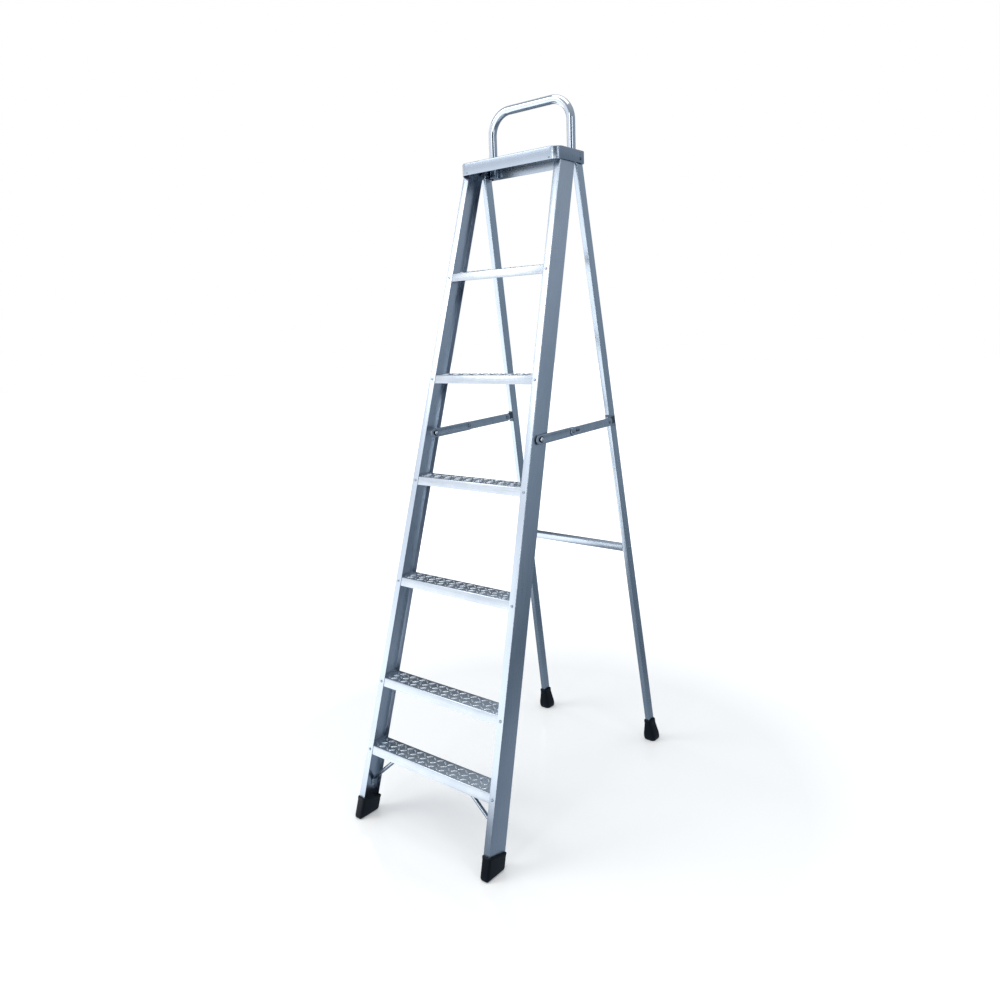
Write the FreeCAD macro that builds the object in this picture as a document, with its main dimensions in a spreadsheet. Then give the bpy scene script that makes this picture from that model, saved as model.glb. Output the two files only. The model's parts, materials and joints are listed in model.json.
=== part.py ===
import FreeCAD, Part
import math
import os
import re

import Sketcher

# Folding step ladder. X runs across the ladder, +Y to the rear, +Z up, floor at Z = 0.
# Sizes in millimetres. Lateral sizes are half widths from the middle plane.
SIZES = {
    # rungs and overall
    "front_plane": 53.01,  # Y of the stiles' front plane at the level of the cap top
    "cap_level": 1945.0,
    "first_level": 222.0,
    "first_rise": 203.0,
    "rise": 300.0,
    # stiles: C channels, web outside
    "foot_half": 263.4,
    "head_half": 178.0,
    "stile_run": 544.4,
    "stile_depth": 68.0,
    "stile_flange": 22.5,
    "stile_rear_flange": 16.0,
    "stile_wall": 1.8,
    "stile_start": 24.0,
    "stile_length": 1993.0,
    "stile_corner": 2.4,
    # steps: folded sheet
    "step_sheet": 1.6,
    "step_lip": 25.0,
    "step_rear_lip": 20.0,
    "step_inset": 2.1,
    "step_span": 66.4,
    "step_end_gap": 0.4,
    "step_bend": 3.0,
    # top cap: inverted tray
    "cap_half": 182.0,
    "cap_height": 35.0,
    "cap_front": 27.5,
    "cap_rear": 110.0,
    "cap_sheet": 1.8,
    "cap_front_corner": 28.5,
    "cap_rear_corner": 8.0,
    "cap_bend": 3.0,
    "cap_rivet_near": 16.0,
    "cap_rivet_far": 46.0,
    "cap_rivet_level": 1925.5,
    "cap_rivet_radius": 3.2,
    "cap_rivet_head": 0.4,
    "cap_front_rivet_inset": 31.0,
    "cap_front_rivet_level": 1916.5,
    "cap_front_rivet_radius": 3.4,
    "cap_front_rivet_head": 1.4,
    # hoop: one bent round tube
    "hoop_half": 145.0,
    "hoop_radius": 12.5,
    "hoop_wall": 1.5,
    "hoop_bend": 66.0,
    "hoop_foot": 1914.0,
    "hoop_rise": 185.5,
    "hoop_plane": 95.4,
    "hoop_hole": 12.8,
    "hoop_rivet_low": 1921.0,
    "hoop_rivet_high": 1934.0,
    # rear legs: rectangular tube
    "rear_foot_half": 238.4,
    "rear_head_half": 176.0,
    "rear_face": 65.7,
    "rear_run": 337.9,
    "leg_width": 16.0,
    "leg_depth": 32.0,
    "leg_wall": 1.5,
    "leg_corner": 3.0,
    "leg_start": 6.0,
    "leg_length": 1959.0,
    # hinge at the cap
    "pin_radius": 4.0,
    "pin_clearance": 0.05,
    "pin_reach": 24.0,
    "pin_fit": 0.02,
    "pin_head_radius": 5.0,
    "pin_head": 1.6,
    "bush_radius": 9.0,
    "bush_length": 2.4,
    "bush_gap": 0.05,
    "leg_bore_half": 30.0,
    "hinge_rivet_low": 1933.8,
    "hinge_rivet_high": 1939.4,
    "hinge_rivet_radius": 2.1,
    "hinge_rivet_head": 1.0,
    "hinge_rivet_shank": 3.0,
    "hinge_rivet_shank_radius": 1.2,
    # rear brace
    "brace_level": 740.0,
    "brace_lip": 20.0,
    "brace_span": 24.0,
    "brace_sheet": 1.5,
    "brace_inset": 0.6,
    "brace_end_gap": 0.2,
    "brace_rivet_near": 8.0,
    "brace_rivet_far": 19.0,
    "brace_rivet_drop": 8.0,
    # fasteners
    "rivet_head_radius": 4.4,
    "rivet_head": 1.9,
    "rivet_shank_radius": 2.4,
    "rivet_shank": 4.6,
    "step_rivet_shift": 0.6,
    # struts under the lowest step
    "strut_width": 12.0,
    "strut_sheet": 2.4,
    "strut_tab_end": 100.0,
    "strut_bend": 121.0,
    "strut_low": 98.0,
    "strut_tab_low": 78.0,
    "strut_setback": 7.0,
    "strut_gap": 0.2,
    "strut_rivet_rise": 9.0,
    "strut_rivet_reach": 8.0,
    # front boots
    "boot_wall": 4.6,
    "boot_height": 67.0,
    "boot_corner": 3.5,
    "boot_below": 40.0,
    "boot_gap": 0.1,
    "floor_reach": 60.0,
    # rear boots: four sections of a flared sleeve
    "rear_sole_level": 0.0,
    "rear_sole_x": 20.5,
    "rear_sole_y": 23.2,
    "rear_flare_level": 14.0,
    "rear_flare_x": 22.5,
    "rear_flare_y": 25.16,
    "rear_waist_level": 46.0,
    "rear_waist_x": 16.8,
    "rear_waist_y": 22.4,
    "rear_collar_level": 78.0,
    "rear_collar_x": 14.0,
    "rear_collar_y": 20.6,
    "rear_boot_edge": 5.0,
    # spreaders
    "stud_level": 1150.0,
    "stud_setback": 36.5,
    "ear_level": 1162.0,
    "ear_reach": 33.7,
    "front_link": 155.0,
    "front_link_width": 27.0,
    "rear_link_width": 25.0,
    "link_sheet": 2.0,
    "link_gap": 0.35,
    "front_tip": 23.0,
    "link_end": 12.5,
    "link_hole": 3.05,
    "stud_radius": 3.0,
    "stud_head_radius": 6.0,
    "stud_head": 2.0,
    "stud_clearance": 0.5,
    "pin_play": 0.15,
    "pin_back": 1.2,
    "ear_step": 0.2,
    "left_link_plane": 179.4,
    "right_link_plane": 217.5,
    "ear_sheet": 2.0,
    "ear_radius": 11.0,
    "bracket_height": 34.0,
    "bracket_gap": 0.15,
    "bracket_edge": 1.0,
    "bracket_rivet_rise": 9.0,
}

SIDES = {"left": -1, "right": 1}
LEAN = "stile_run / cap_level"
STEP_COUNT = 6
FOLD_DEGREES = 25.0
Z = FreeCAD.Vector(0, 0, 1)
X = FreeCAD.Vector(1, 0, 0)

doc = FreeCAD.newDocument("StepLadder")
sheet = doc.addObject("Spreadsheet::Sheet", "Sizes")
for row, (alias, value) in enumerate(SIZES.items(), start=1):
    sheet.set(f"A{row}", alias)
    sheet.set(f"B{row}", str(value))
    sheet.setAlias(f"B{row}", alias)
doc.recompute()

nodes = {}


def size(alias):
    """A driving size, read back from the sheet."""
    return float(getattr(sheet, alias))


def vector(x, y, z):
    return FreeCAD.Vector(x, y, z)


def in_sheet(formula):
    """A formula whose bare words are read as cells of the sheet."""
    return re.sub(r"[a-z]\w*", lambda word: "Sizes." + word.group(0), str(formula))


def value_of(formula):
    """The number that a formula gives now."""
    result = sheet.evalExpression(in_sheet(formula))
    return float(getattr(result, "Value", result))


def bind(item, prop, formula):
    """Bind one property to a formula."""
    item.setExpression(prop, in_sheet(formula))


def keep(node, item):
    """Name the finished sub-part."""
    item.Label = node
    nodes[node] = item
    return item


def frame(x_axis, z_axis, base):
    """Placement whose local X and Z lie along the two given directions."""
    y_axis = z_axis.cross(x_axis)
    return FreeCAD.Placement(base, FreeCAD.Rotation(x_axis, y_axis, z_axis, "ZXY"))


def rail(side, foot_half, head_half, y_foot, y_head):
    """Frame of a leaning rail: local X across, Y through its depth, Z up along it."""
    splay = (foot_half - head_half) / size("cap_level")
    axis = vector(-side * splay, (y_head - y_foot) / size("cap_level"), 1).normalize()
    across = vector(1, 0, side * splay).normalize()
    return frame(across, axis, vector(side * foot_half, y_foot, 0))


def along(place, x, y, level):
    """Local point of a rail's frame at local x and y whose height is the given level."""
    z_axis = place.Rotation.multVec(Z)
    flat = place.multVec(vector(x, y, 0))
    return vector(x, y, (level - flat.z) / z_axis.z)


def shifted(place, x, y, z):
    return place * FreeCAD.Placement(vector(x, y, z), FreeCAD.Rotation())


# ---------------------------------------------------------------- features
def new_body(node, place):
    body = doc.addObject("PartDesign::Body", node + "_body")
    body.Placement = place
    return body


def new_sketch(body, role, name, lift="0"):
    sketch = body.newObject("Sketcher::SketchObject", name)
    plane = next(f for f in body.Origin.OriginFeatures if f.Role == role)
    sketch.AttachmentSupport = (plane, [""])
    sketch.MapMode = "FlatFace"
    if lift != "0":
        bind(sketch, "AttachmentOffset.Base.z", lift)
    return sketch


def pin_point(sketch, geometry, which, x, y):
    """Fix a vertex at two formulas measured from the sketch's origin."""
    for kind, formula, axis in (("DistanceX", x, -2), ("DistanceY", y, -1)):
        amount = value_of(formula)
        if abs(amount) < 1e-9:
            sketch.addConstraint(Sketcher.Constraint("PointOnObject", geometry, which, axis))
            continue
        name = f"{kind[-1].lower()}{geometry}_{which}"
        index = sketch.addConstraint(
            Sketcher.Constraint(kind, -1, 1, geometry, which, amount)
        )
        sketch.renameConstraint(index, name)
        bind(sketch, "Constraints." + name, formula)


def polygon(sketch, points):
    """Closed outline through vertices that are pairs of formulas."""
    places = [vector(value_of(x), value_of(y), 0) for x, y in points]
    count = len(points)
    for i in range(count):
        sketch.addGeometry(Part.LineSegment(places[i], places[(i + 1) % count]), False)
    for i in range(count):
        sketch.addConstraint(Sketcher.Constraint("Coincident", i, 2, (i + 1) % count, 1))
    for i, (x, y) in enumerate(points):
        pin_point(sketch, i, 1, x, y)


def rectangle(sketch, x0, x1, y0, y1):
    polygon(sketch, [(x0, y0), (x1, y0), (x1, y1), (x0, y1)])


def circle(sketch, x, y, radius):
    centre = vector(value_of(x), value_of(y), 0)
    index = sketch.addGeometry(Part.Circle(centre, Z, value_of(radius)), False)
    pin_point(sketch, index, 3, x, y)
    rule = sketch.addConstraint(Sketcher.Constraint("Radius", index, value_of(radius)))
    sketch.renameConstraint(rule, f"radius{index}")
    bind(sketch, f"Constraints.radius{index}", radius)


def pad(body, sketch, name, length, middle=False):
    feature = body.newObject("PartDesign::Pad", name)
    feature.Profile = sketch
    if middle:
        feature.SideType = "Symmetric"
    bind(feature, "Length", length)
    doc.recompute()
    return feature


def pocket(body, sketch, name):
    """Cut the sketch through the whole body, both ways, and make sure it cut."""
    before = body.Shape.Volume
    feature = body.newObject("PartDesign::Pocket", name)
    feature.Profile = sketch
    feature.Type = "ThroughAll"
    feature.SideType = "Symmetric"
    doc.recompute()
    if body.Shape.Volume > before - 1.0:
        raise RuntimeError(f"{body.Name} {name} cut nothing")
    return feature


def edges(shape, test):
    return [f"Edge{i}" for i, edge in enumerate(shape.Edges, start=1) if test(edge)]


def fillet(body, base, name, radius, test):
    names = edges(base.Shape, test)
    if not names:
        raise RuntimeError(f"{body.Name} {name} found no edges")
    feature = body.newObject("PartDesign::Fillet", name)
    feature.Base = (base, names)
    bind(feature, "Radius", radius)
    doc.recompute()
    return feature


def runs_along(edge, axis):
    """A straight edge that lies along one of the local axes."""
    if len(edge.Vertexes) != 2:
        return False
    step = edge.Vertexes[1].Point - edge.Vertexes[0].Point
    return step.Length > 1e-6 and abs(abs(step.normalize().dot(axis)) - 1) < 1e-4


def near(edge, x=None, y=None, z=None):
    """Whether an edge's middle lies at the given local coordinates."""
    centre = edge.BoundBox.Center
    wanted = ((centre.x, x), (centre.y, y), (centre.z, z))
    return all(want is None or abs(got - want) < 0.05 for got, want in wanted)


def box(name, length, width, height, place):
    item = doc.addObject("Part::Box", name)
    for prop, formula in (("Length", length), ("Width", width), ("Height", height)):
        bind(item, prop, formula)
    item.Placement = place
    return item


def cylinder(name, radius, height, place):
    item = doc.addObject("Part::Cylinder", name)
    bind(item, "Radius", radius)
    bind(item, "Height", height)
    item.Placement = place
    return item


def fuse(name, items):
    item = doc.addObject("Part::MultiFuse", name)
    item.Shapes = items
    doc.recompute()
    return item


def cut(name, base, tools):
    item = doc.addObject("Part::Cut", name)
    item.Base = base
    item.Tool = tools[0] if len(tools) == 1 else fuse(name + "_tools", tools)
    doc.recompute()
    return item


def group(name, items):
    """Separate solids that share one node."""
    item = doc.addObject("Part::Compound", name)
    item.Links = items
    doc.recompute()
    return item


def rivet(name, place, shank="rivet_shank", head_radius="rivet_head_radius",
          head="rivet_head", shank_radius="rivet_shank_radius"):
    """Headed fastener: its head stands on local Z = 0 and the shank points down."""
    dome = doc.addObject("Part::Cone", name + "_dome")
    bind(dome, "Radius1", head_radius)
    bind(dome, "Radius2", f"0.62 * {head_radius}")
    bind(dome, "Height", head)
    dome.Placement = place
    back = shifted(place, 0, 0, -size(shank) if shank in SIZES else -value_of(shank))
    stem = cylinder(name + "_stem", shank_radius, shank, back)
    return fuse(name, [dome, stem])


def facing(direction, point):
    """Placement at a point whose local Z looks in a direction."""
    return FreeCAD.Placement(point, FreeCAD.Rotation(Z, direction))


def step_level(number):
    if number == 1:
        return "first_level"
    return f"(first_level + first_rise + {number - 2} * rise)"


# ---------------------------------------------------------------- stiles
head_y = size("front_plane")
foot_y = head_y - size("stile_run")
stile_frames = {
    name: rail(side, size("foot_half"), size("head_half"), foot_y, head_y)
    for name, side in SIDES.items()
}


def make_stile(name, side):
    sign = "-" if side > 0 else ""
    body = new_body("stile_" + name, shifted(stile_frames[name], 0, 0, size("stile_start")))
    sketch = new_sketch(body, "XY_Plane", f"stile_{name}_section")
    inner = f"{sign}stile_wall"
    polygon(sketch, [
        ("0", "0"),
        (f"{sign}stile_flange", "0"),
        (f"{sign}stile_flange", "stile_wall"),
        (inner, "stile_wall"),
        (inner, "stile_depth - stile_wall"),
        (f"{sign}stile_rear_flange", "stile_depth - stile_wall"),
        (f"{sign}stile_rear_flange", "stile_depth"),
        ("0", "stile_depth"),
    ])
    bar = pad(body, sketch, f"stile_{name}_pad", "stile_length")
    fillet(body, bar, f"stile_{name}_corners", "stile_corner", lambda e: runs_along(e, Z)
           and (near(e, 0, 0) or near(e, 0, size("stile_depth"))))
    keep("stile_" + name, body)


# ---------------------------------------------------------------- steps
def make_step(number):
    node = f"step_{number}"
    level = value_of(step_level(number))
    front = head_y - size("stile_run") / size("cap_level") * (size("cap_level") - level)
    body = new_body(node, FreeCAD.Placement(vector(0, front, level), FreeCAD.Rotation()))
    sketch = new_sketch(body, "YZ_Plane", node + "_section")
    rear = "(step_inset + step_span)"
    polygon(sketch, [
        ("step_inset", "0"),
        (f"step_inset - {LEAN} * step_lip", "-step_lip"),
        (f"step_inset + step_sheet - {LEAN} * step_lip", "-step_lip"),
        (f"step_inset + step_sheet - {LEAN} * step_sheet", "-step_sheet"),
        (f"{rear} - step_sheet - {LEAN} * step_sheet", "-step_sheet"),
        (f"{rear} - step_sheet - {LEAN} * step_rear_lip", "-step_rear_lip"),
        (f"{rear} - {LEAN} * step_rear_lip", "-step_rear_lip"),
        (rear, "0"),
    ])
    half = f"foot_half - (foot_half - head_half) / cap_level * {step_level(number)}"
    width = f"2 * ({half} - stile_wall - step_end_gap)"
    plate = pad(body, sketch, node + "_pad", width, middle=True)
    fillet(body, plate, node + "_bends", "step_bend", lambda e: runs_along(e, X)
           and (near(e, 0, size("step_inset"), 0)
                or near(e, 0, size("step_inset") + size("step_span"), 0)))
    keep(node, body)


def make_step_rivets(name, side):
    """One rivet per step through each flange of a stile."""
    place = stile_frames[name]
    depth_way = place.Rotation.multVec(vector(0, 1, 0))
    shift = size("step_rivet_shift")
    rivets = []
    for number in range(1, STEP_COUNT + 1):
        level = value_of(step_level(number))
        for end, x, y, drop, way in (
            ("front", size("stile_flange") / 2 + shift, 0.0, size("step_lip") / 2, -1),
            ("rear", size("stile_rear_flange") / 2 + shift, size("stile_depth"),
             size("step_rear_lip") / 2, 1),
        ):
            spot = along(place, -side * x, y, level - drop)
            where = facing(depth_way * way, place.multVec(spot))
            rivets.append(rivet(f"step_rivet_{name}_{number}_{end}", where))
    keep("step_rivets_" + name, group("step_rivets_" + name, rivets))


# ---------------------------------------------------------------- top cap
pivot_place = {
    name: rail(side, size("rear_foot_half"), size("rear_head_half"),
               head_y + size("rear_face") + size("rear_run"), head_y + size("rear_face"))
    for name, side in SIDES.items()
}
pivot = pivot_place["right"].multVec(vector(
    -size("leg_width") / 2, size("leg_depth") / 2,
    size("leg_start") + size("leg_length") - size("leg_depth") / 2))


def make_cap():
    base = vector(0, head_y, size("cap_level") - size("cap_height"))
    body = new_body("top_cap", FreeCAD.Placement(base, FreeCAD.Rotation()))
    sketch = new_sketch(body, "XY_Plane", "cap_outline")
    rectangle(sketch, "-cap_half", "cap_half", "-cap_front", "cap_rear")
    block = pad(body, sketch, "cap_block", "cap_height")
    front = fillet(body, block, "cap_front_corners", "cap_front_corner",
                   lambda e: runs_along(e, Z) and near(e, y=-size("cap_front")))
    rear = fillet(body, front, "cap_rear_corners", "cap_rear_corner",
                  lambda e: runs_along(e, Z) and near(e, y=size("cap_rear")))
    top = fillet(body, rear, "cap_top_bend", "cap_bend",
                 lambda e: near(e, z=size("cap_height")) and e.BoundBox.ZLength < 0.01)
    floor = [f"Face{i}" for i, face in enumerate(top.Shape.Faces, start=1)
             if face.BoundBox.ZMax < 0.01]
    shell = body.newObject("PartDesign::Thickness", "cap_hollow")
    shell.Base = (top, floor)
    shell.Reversed = True
    bind(shell, "Value", "cap_sheet")
    doc.recompute()
    holes = new_sketch(body, "XY_Plane", "cap_hoop_holes")
    for sign in ("-", ""):
        circle(holes, f"{sign}hoop_half", "hoop_plane", "hoop_hole")
    pocket(body, holes, "cap_hoop_cut")
    bores = new_sketch(body, "YZ_Plane", "cap_pin_holes")
    circle(bores, f"{pivot.y - head_y:.4f}", f"{pivot.z - base.z:.4f}", "pin_radius + pin_fit")
    pocket(body, bores, "cap_pin_cut")
    keep("top_cap", body)


def make_cap_rivets():
    """Rivets through the skirt: flush ones into the stiles, small ones over the hinge."""
    rivets = []
    for name, side in SIDES.items():
        outward = X * side
        for part in ("near", "far"):
            spot = vector(side * size("cap_half"), head_y + size(f"cap_rivet_{part}"),
                          size("cap_rivet_level"))
            rivets.append(rivet(f"cap_rivet_{name}_{part}", facing(outward, spot), "rivet_shank",
                                "cap_rivet_radius", "cap_rivet_head"))
        for part in ("low", "high"):
            spot = vector(side * size("cap_half"), pivot.y, size(f"hinge_rivet_{part}"))
            rivets.append(rivet(f"hinge_rivet_{name}_{part}", facing(outward, spot),
                                "hinge_rivet_shank", "hinge_rivet_radius", "hinge_rivet_head",
                                "hinge_rivet_shank_radius"))
        spot = vector(side * (size("cap_half") - size("cap_front_rivet_inset")),
                      head_y - size("cap_front"), size("cap_front_rivet_level"))
        rivets.append(rivet(f"cap_rivet_{name}_front", facing(vector(0, -1, 0), spot),
                            "rivet_shank", "cap_front_rivet_radius", "cap_front_rivet_head"))
    keep("cap_rivets", group("cap_rivets", rivets))


# ---------------------------------------------------------------- hoop
def make_hoop():
    base = vector(0, head_y + size("hoop_plane"), size("hoop_foot"))
    body = new_body("handle_hoop", FreeCAD.Placement(base, FreeCAD.Rotation()))
    path = new_sketch(body, "XZ_Plane", "hoop_path")
    half = size("hoop_half")
    bend = size("hoop_bend")
    top = size("hoop_rise")
    shoulder = top - bend
    down = vector(0, 0, 1)
    path.addGeometry(Part.LineSegment(vector(-half, 0, 0), vector(-half, shoulder, 0)), False)
    left = Part.Circle(vector(bend - half, shoulder, 0), down, bend)
    path.addGeometry(Part.ArcOfCircle(left, math.pi / 2, math.pi), False)
    path.addGeometry(Part.LineSegment(vector(bend - half, top, 0), vector(half - bend, top, 0)))
    right = Part.Circle(vector(half - bend, shoulder, 0), down, bend)
    path.addGeometry(Part.ArcOfCircle(right, 0, math.pi / 2), False)
    path.addGeometry(Part.LineSegment(vector(half, shoulder, 0), vector(half, 0, 0)), False)
    for first, end, second, start in ((0, 2, 1, 2), (1, 1, 2, 1), (2, 2, 3, 2), (3, 1, 4, 1)):
        path.addConstraint(Sketcher.Constraint("Tangent", first, end, second, start))
    pin_point(path, 0, 1, "-hoop_half", "0")
    pin_point(path, 4, 2, "hoop_half", "0")
    for line, kind in ((0, "Vertical"), (2, "Horizontal"), (4, "Vertical")):
        path.addConstraint(Sketcher.Constraint(kind, line))
    for name, arc in (("left_bend", 1), ("right_bend", 3)):
        index = path.addConstraint(Sketcher.Constraint("Radius", arc, bend))
        path.renameConstraint(index, name)
        bind(path, "Constraints." + name, "hoop_bend")
    index = path.addConstraint(Sketcher.Constraint("DistanceY", -1, 1, 2, 1, top))
    path.renameConstraint(index, "top")
    bind(path, "Constraints.top", "hoop_rise")
    section = new_sketch(body, "XY_Plane", "hoop_section")
    circle(section, "-hoop_half", "0", "hoop_radius")
    circle(section, "-hoop_half", "0", "hoop_radius - hoop_wall")
    doc.recompute()
    pipe = body.newObject("PartDesign::AdditivePipe", "hoop_pipe")
    pipe.Profile = section
    pipe.Spine = (path, [f"Edge{i}" for i in range(1, 6)])
    doc.recompute()
    keep("handle_hoop", body)


def make_hoop_rivets():
    rivets = []
    for name, side in SIDES.items():
        for part in ("low", "high"):
            spot = vector(side * size("hoop_half"), head_y + size("cap_rear"),
                          size(f"hoop_rivet_{part}"))
            rivets.append(rivet(f"hoop_rivet_{name}_{part}", facing(vector(0, 1, 0), spot)))
    keep("handle_rivets", group("handle_rivets", rivets))


# ---------------------------------------------------------------- struts
def make_strut(name, side):
    """Flat bar, bent at both ends, from under the lowest step to the stile's web."""
    sign = "" if side > 0 else "-"
    level = size("first_level")
    front = head_y - size("stile_run") / size("cap_level") * (size("cap_level") - level)
    body = new_body("strut_" + name, FreeCAD.Placement(
        vector(0, front + size("strut_setback") + size("strut_width"), 0), FreeCAD.Rotation()))
    sketch = new_sketch(body, "XZ_Plane", f"strut_{name}_outline")
    under = "(first_level - step_sheet - strut_gap)"
    web = "(foot_half - (foot_half - head_half) / cap_level * {} - stile_wall - strut_gap)"
    low_web = web.format("strut_tab_low")
    bend_web = web.format("strut_low")
    outline = [
        ("strut_tab_end", under),
        ("strut_bend", under),
        (bend_web, "strut_low"),
        (low_web, "strut_tab_low"),
        (f"{low_web} - strut_sheet", "strut_tab_low"),
        (f"{bend_web} - strut_sheet", "strut_low - 0.5 * strut_sheet"),
        ("strut_bend - 0.4 * strut_sheet", f"{under} - strut_sheet"),
        ("strut_tab_end", f"{under} - strut_sheet"),
    ]
    polygon(sketch, [(f"{sign}({x})", y) for x, y in outline])
    pad(body, sketch, f"strut_{name}_pad", "strut_width")
    keep("strut_" + name, body)


def make_strut_rivets():
    level = size("first_level")
    front = head_y - size("stile_run") / size("cap_level") * (size("cap_level") - level)
    mid = front + size("strut_setback") + size("strut_width") / 2
    drop = size("step_sheet") + size("strut_gap") + size("strut_sheet")
    splay = (size("foot_half") - size("head_half")) / size("cap_level")
    low = size("strut_tab_low") + size("strut_rivet_rise")
    inside = size("stile_wall") + size("strut_gap") + size("strut_sheet")
    reach = size("foot_half") - splay * low - inside
    rivets = []
    for name, side in SIDES.items():
        spot = vector(side * (size("strut_tab_end") + size("strut_rivet_reach")), mid, level - drop)
        rivets.append(rivet(f"strut_rivet_{name}_high", facing(-Z, spot), "strut_sheet"))
        spot = vector(side * reach, mid, low)
        rivets.append(rivet(f"strut_rivet_{name}_low", facing(X * -side, spot), "strut_sheet"))
    keep("strut_rivets", group("strut_rivets", rivets))


# ---------------------------------------------------------------- boots
def floor_block(name, place):
    """Everything below the floor around one foot."""
    reach = size("floor_reach")
    corner = vector(place.x - reach, place.y - reach, -reach)
    return box(name, "2 * floor_reach", "3 * floor_reach", "floor_reach",
               FreeCAD.Placement(corner, FreeCAD.Rotation()))


def make_front_boot(name, side):
    place = stile_frames[name]
    wall = size("boot_wall")
    middle = -side * size("stile_flange") / 2
    x = middle - size("stile_flange") / 2 - wall
    body = new_body("front_boot_" + name, shifted(place, x, -wall, -size("boot_below")))
    sketch = new_sketch(body, "XY_Plane", f"boot_{name}_outline")
    rectangle(sketch, "0", "stile_flange + 2 * boot_wall", "0", "stile_depth + 2 * boot_wall")
    block = pad(body, sketch, f"boot_{name}_block", "boot_height + boot_below")
    fillet(body, block, f"boot_{name}_corners", "boot_corner", lambda e: runs_along(e, Z))
    gap = size("boot_gap")
    hollow = box(f"boot_{name}_hollow", "stile_flange + 2 * boot_gap",
                 "stile_depth + 2 * boot_gap",
                 "boot_height",
                 shifted(place, middle - size("stile_flange") / 2 - gap, -gap,
                         size("stile_start") - gap))
    floor = floor_block(f"boot_{name}_floor", place.Base)
    keep("front_boot_" + name, cut("front_boot_" + name, body, [hollow, floor]))


def make_rear_boot(name, side):
    """Flared sleeve: a loft through four sections that follow the leg's tilt."""
    place = pivot_place[name]
    body = new_body("rear_boot_" + name, FreeCAD.Placement())
    sections = []
    for part in ("sole", "flare", "waist", "collar"):
        level = size(f"rear_{part}_level")
        spot = place.multVec(along(place, -side * size("leg_width") / 2,
                                   size("leg_depth") / 2, level))
        sketch = new_sketch(body, "XY_Plane", f"boot_{name}_{part}", f"rear_{part}_level")
        half_x = f"rear_{part}_x"
        half_y = f"rear_{part}_y"
        corners = []
        for sign_x, sign_y in ((-1, -1), (1, -1), (1, 1), (-1, 1)):
            beside = (f"{sign_x} * ({half_x} - rear_boot_edge)", f"{sign_y} * {half_y}")
            above = (f"{sign_x} * {half_x}", f"{sign_y} * ({half_y} - rear_boot_edge)")
            corners += [above, beside] if sign_x == sign_y else [beside, above]
        polygon(sketch, [(f"{spot.x:.4f} + {x}", f"{spot.y:.4f} + {y}") for x, y in corners])
        sections.append(sketch)
    doc.recompute()
    loft = body.newObject("PartDesign::AdditiveLoft", f"boot_{name}_loft")
    loft.Profile = sections[0]
    loft.Sections = [(section, [""]) for section in sections[1:]]
    doc.recompute()
    gap = size("boot_gap")
    hollow = box(f"rear_boot_{name}_hollow", "leg_width + 2 * boot_gap",
                 "leg_depth + 2 * boot_gap", "2 * rear_collar_level",
                 shifted(place, -side * size("leg_width") / 2 - size("leg_width") / 2 - gap,
                         -gap, size("leg_start") - gap))
    keep("rear_boot_" + name, cut("rear_boot_" + name, body, [hollow]))


# ---------------------------------------------------------------- rear frame
def make_rear_leg(name, side):
    place = pivot_place[name]
    sign = "-" if side > 0 else ""
    body = new_body("rear_leg_" + name, shifted(place, 0, 0, size("leg_start")))
    sketch = new_sketch(body, "XY_Plane", f"leg_{name}_section")
    rectangle(sketch, "0", f"{sign}leg_width", "0", "leg_depth")
    bar = pad(body, sketch, f"leg_{name}_pad", "leg_length")
    fillet(body, bar, f"leg_{name}_corners", "leg_corner", lambda e: runs_along(e, Z))
    bore = new_sketch(body, "XY_Plane", f"leg_{name}_bore")
    rectangle(bore, f"{sign}leg_wall", f"{sign}(leg_width - leg_wall)",
              "leg_wall", "leg_depth - leg_wall")
    pocket(body, bore, f"leg_{name}_hollow")
    crown = new_sketch(body, "YZ_Plane", f"leg_{name}_crown")
    radius = size("leg_depth") / 2
    low = size("leg_length") - radius
    half = "leg_depth / 2"
    edge = f"(leg_length - {half})"
    corners = [("leg_depth", edge), ("leg_depth + 2", edge), ("leg_depth + 2", "leg_length + 2"),
               ("-2", "leg_length + 2"), ("-2", edge), ("0", edge)]
    spots = [vector(value_of(a), value_of(b), 0) for a, b in corners]
    for first, second in zip(spots, spots[1:]):
        crown.addGeometry(Part.LineSegment(first, second), False)
    arc = Part.Circle(vector(radius, low, 0), Z, radius)
    crown.addGeometry(Part.ArcOfCircle(arc, 0, math.pi), False)
    for line in range(4):
        crown.addConstraint(Sketcher.Constraint("Coincident", line, 2, line + 1, 1))
    crown.addConstraint(Sketcher.Constraint("Coincident", 4, 2, 5, 2))
    crown.addConstraint(Sketcher.Constraint("Coincident", 5, 1, 0, 1))
    for line, (a, b) in enumerate(corners[:-1]):
        pin_point(crown, line, 1, a, b)
    pin_point(crown, 4, 2, *corners[-1])
    rule = crown.addConstraint(Sketcher.Constraint("DistanceY", -1, 1, 5, 3, low))
    crown.renameConstraint(rule, "centre")
    bind(crown, "Constraints.centre", edge)
    pocket(body, crown, f"leg_{name}_round")
    bore_start = side * size("rear_head_half") - size("leg_bore_half")
    tool = cylinder(f"leg_{name}_pin_bore", "pin_radius + pin_clearance", "2 * leg_bore_half",
                    facing(X, vector(bore_start, pivot.y, pivot.z)))
    keep("rear_leg_" + name, cut("rear_leg_" + name, body, [tool]))


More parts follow.
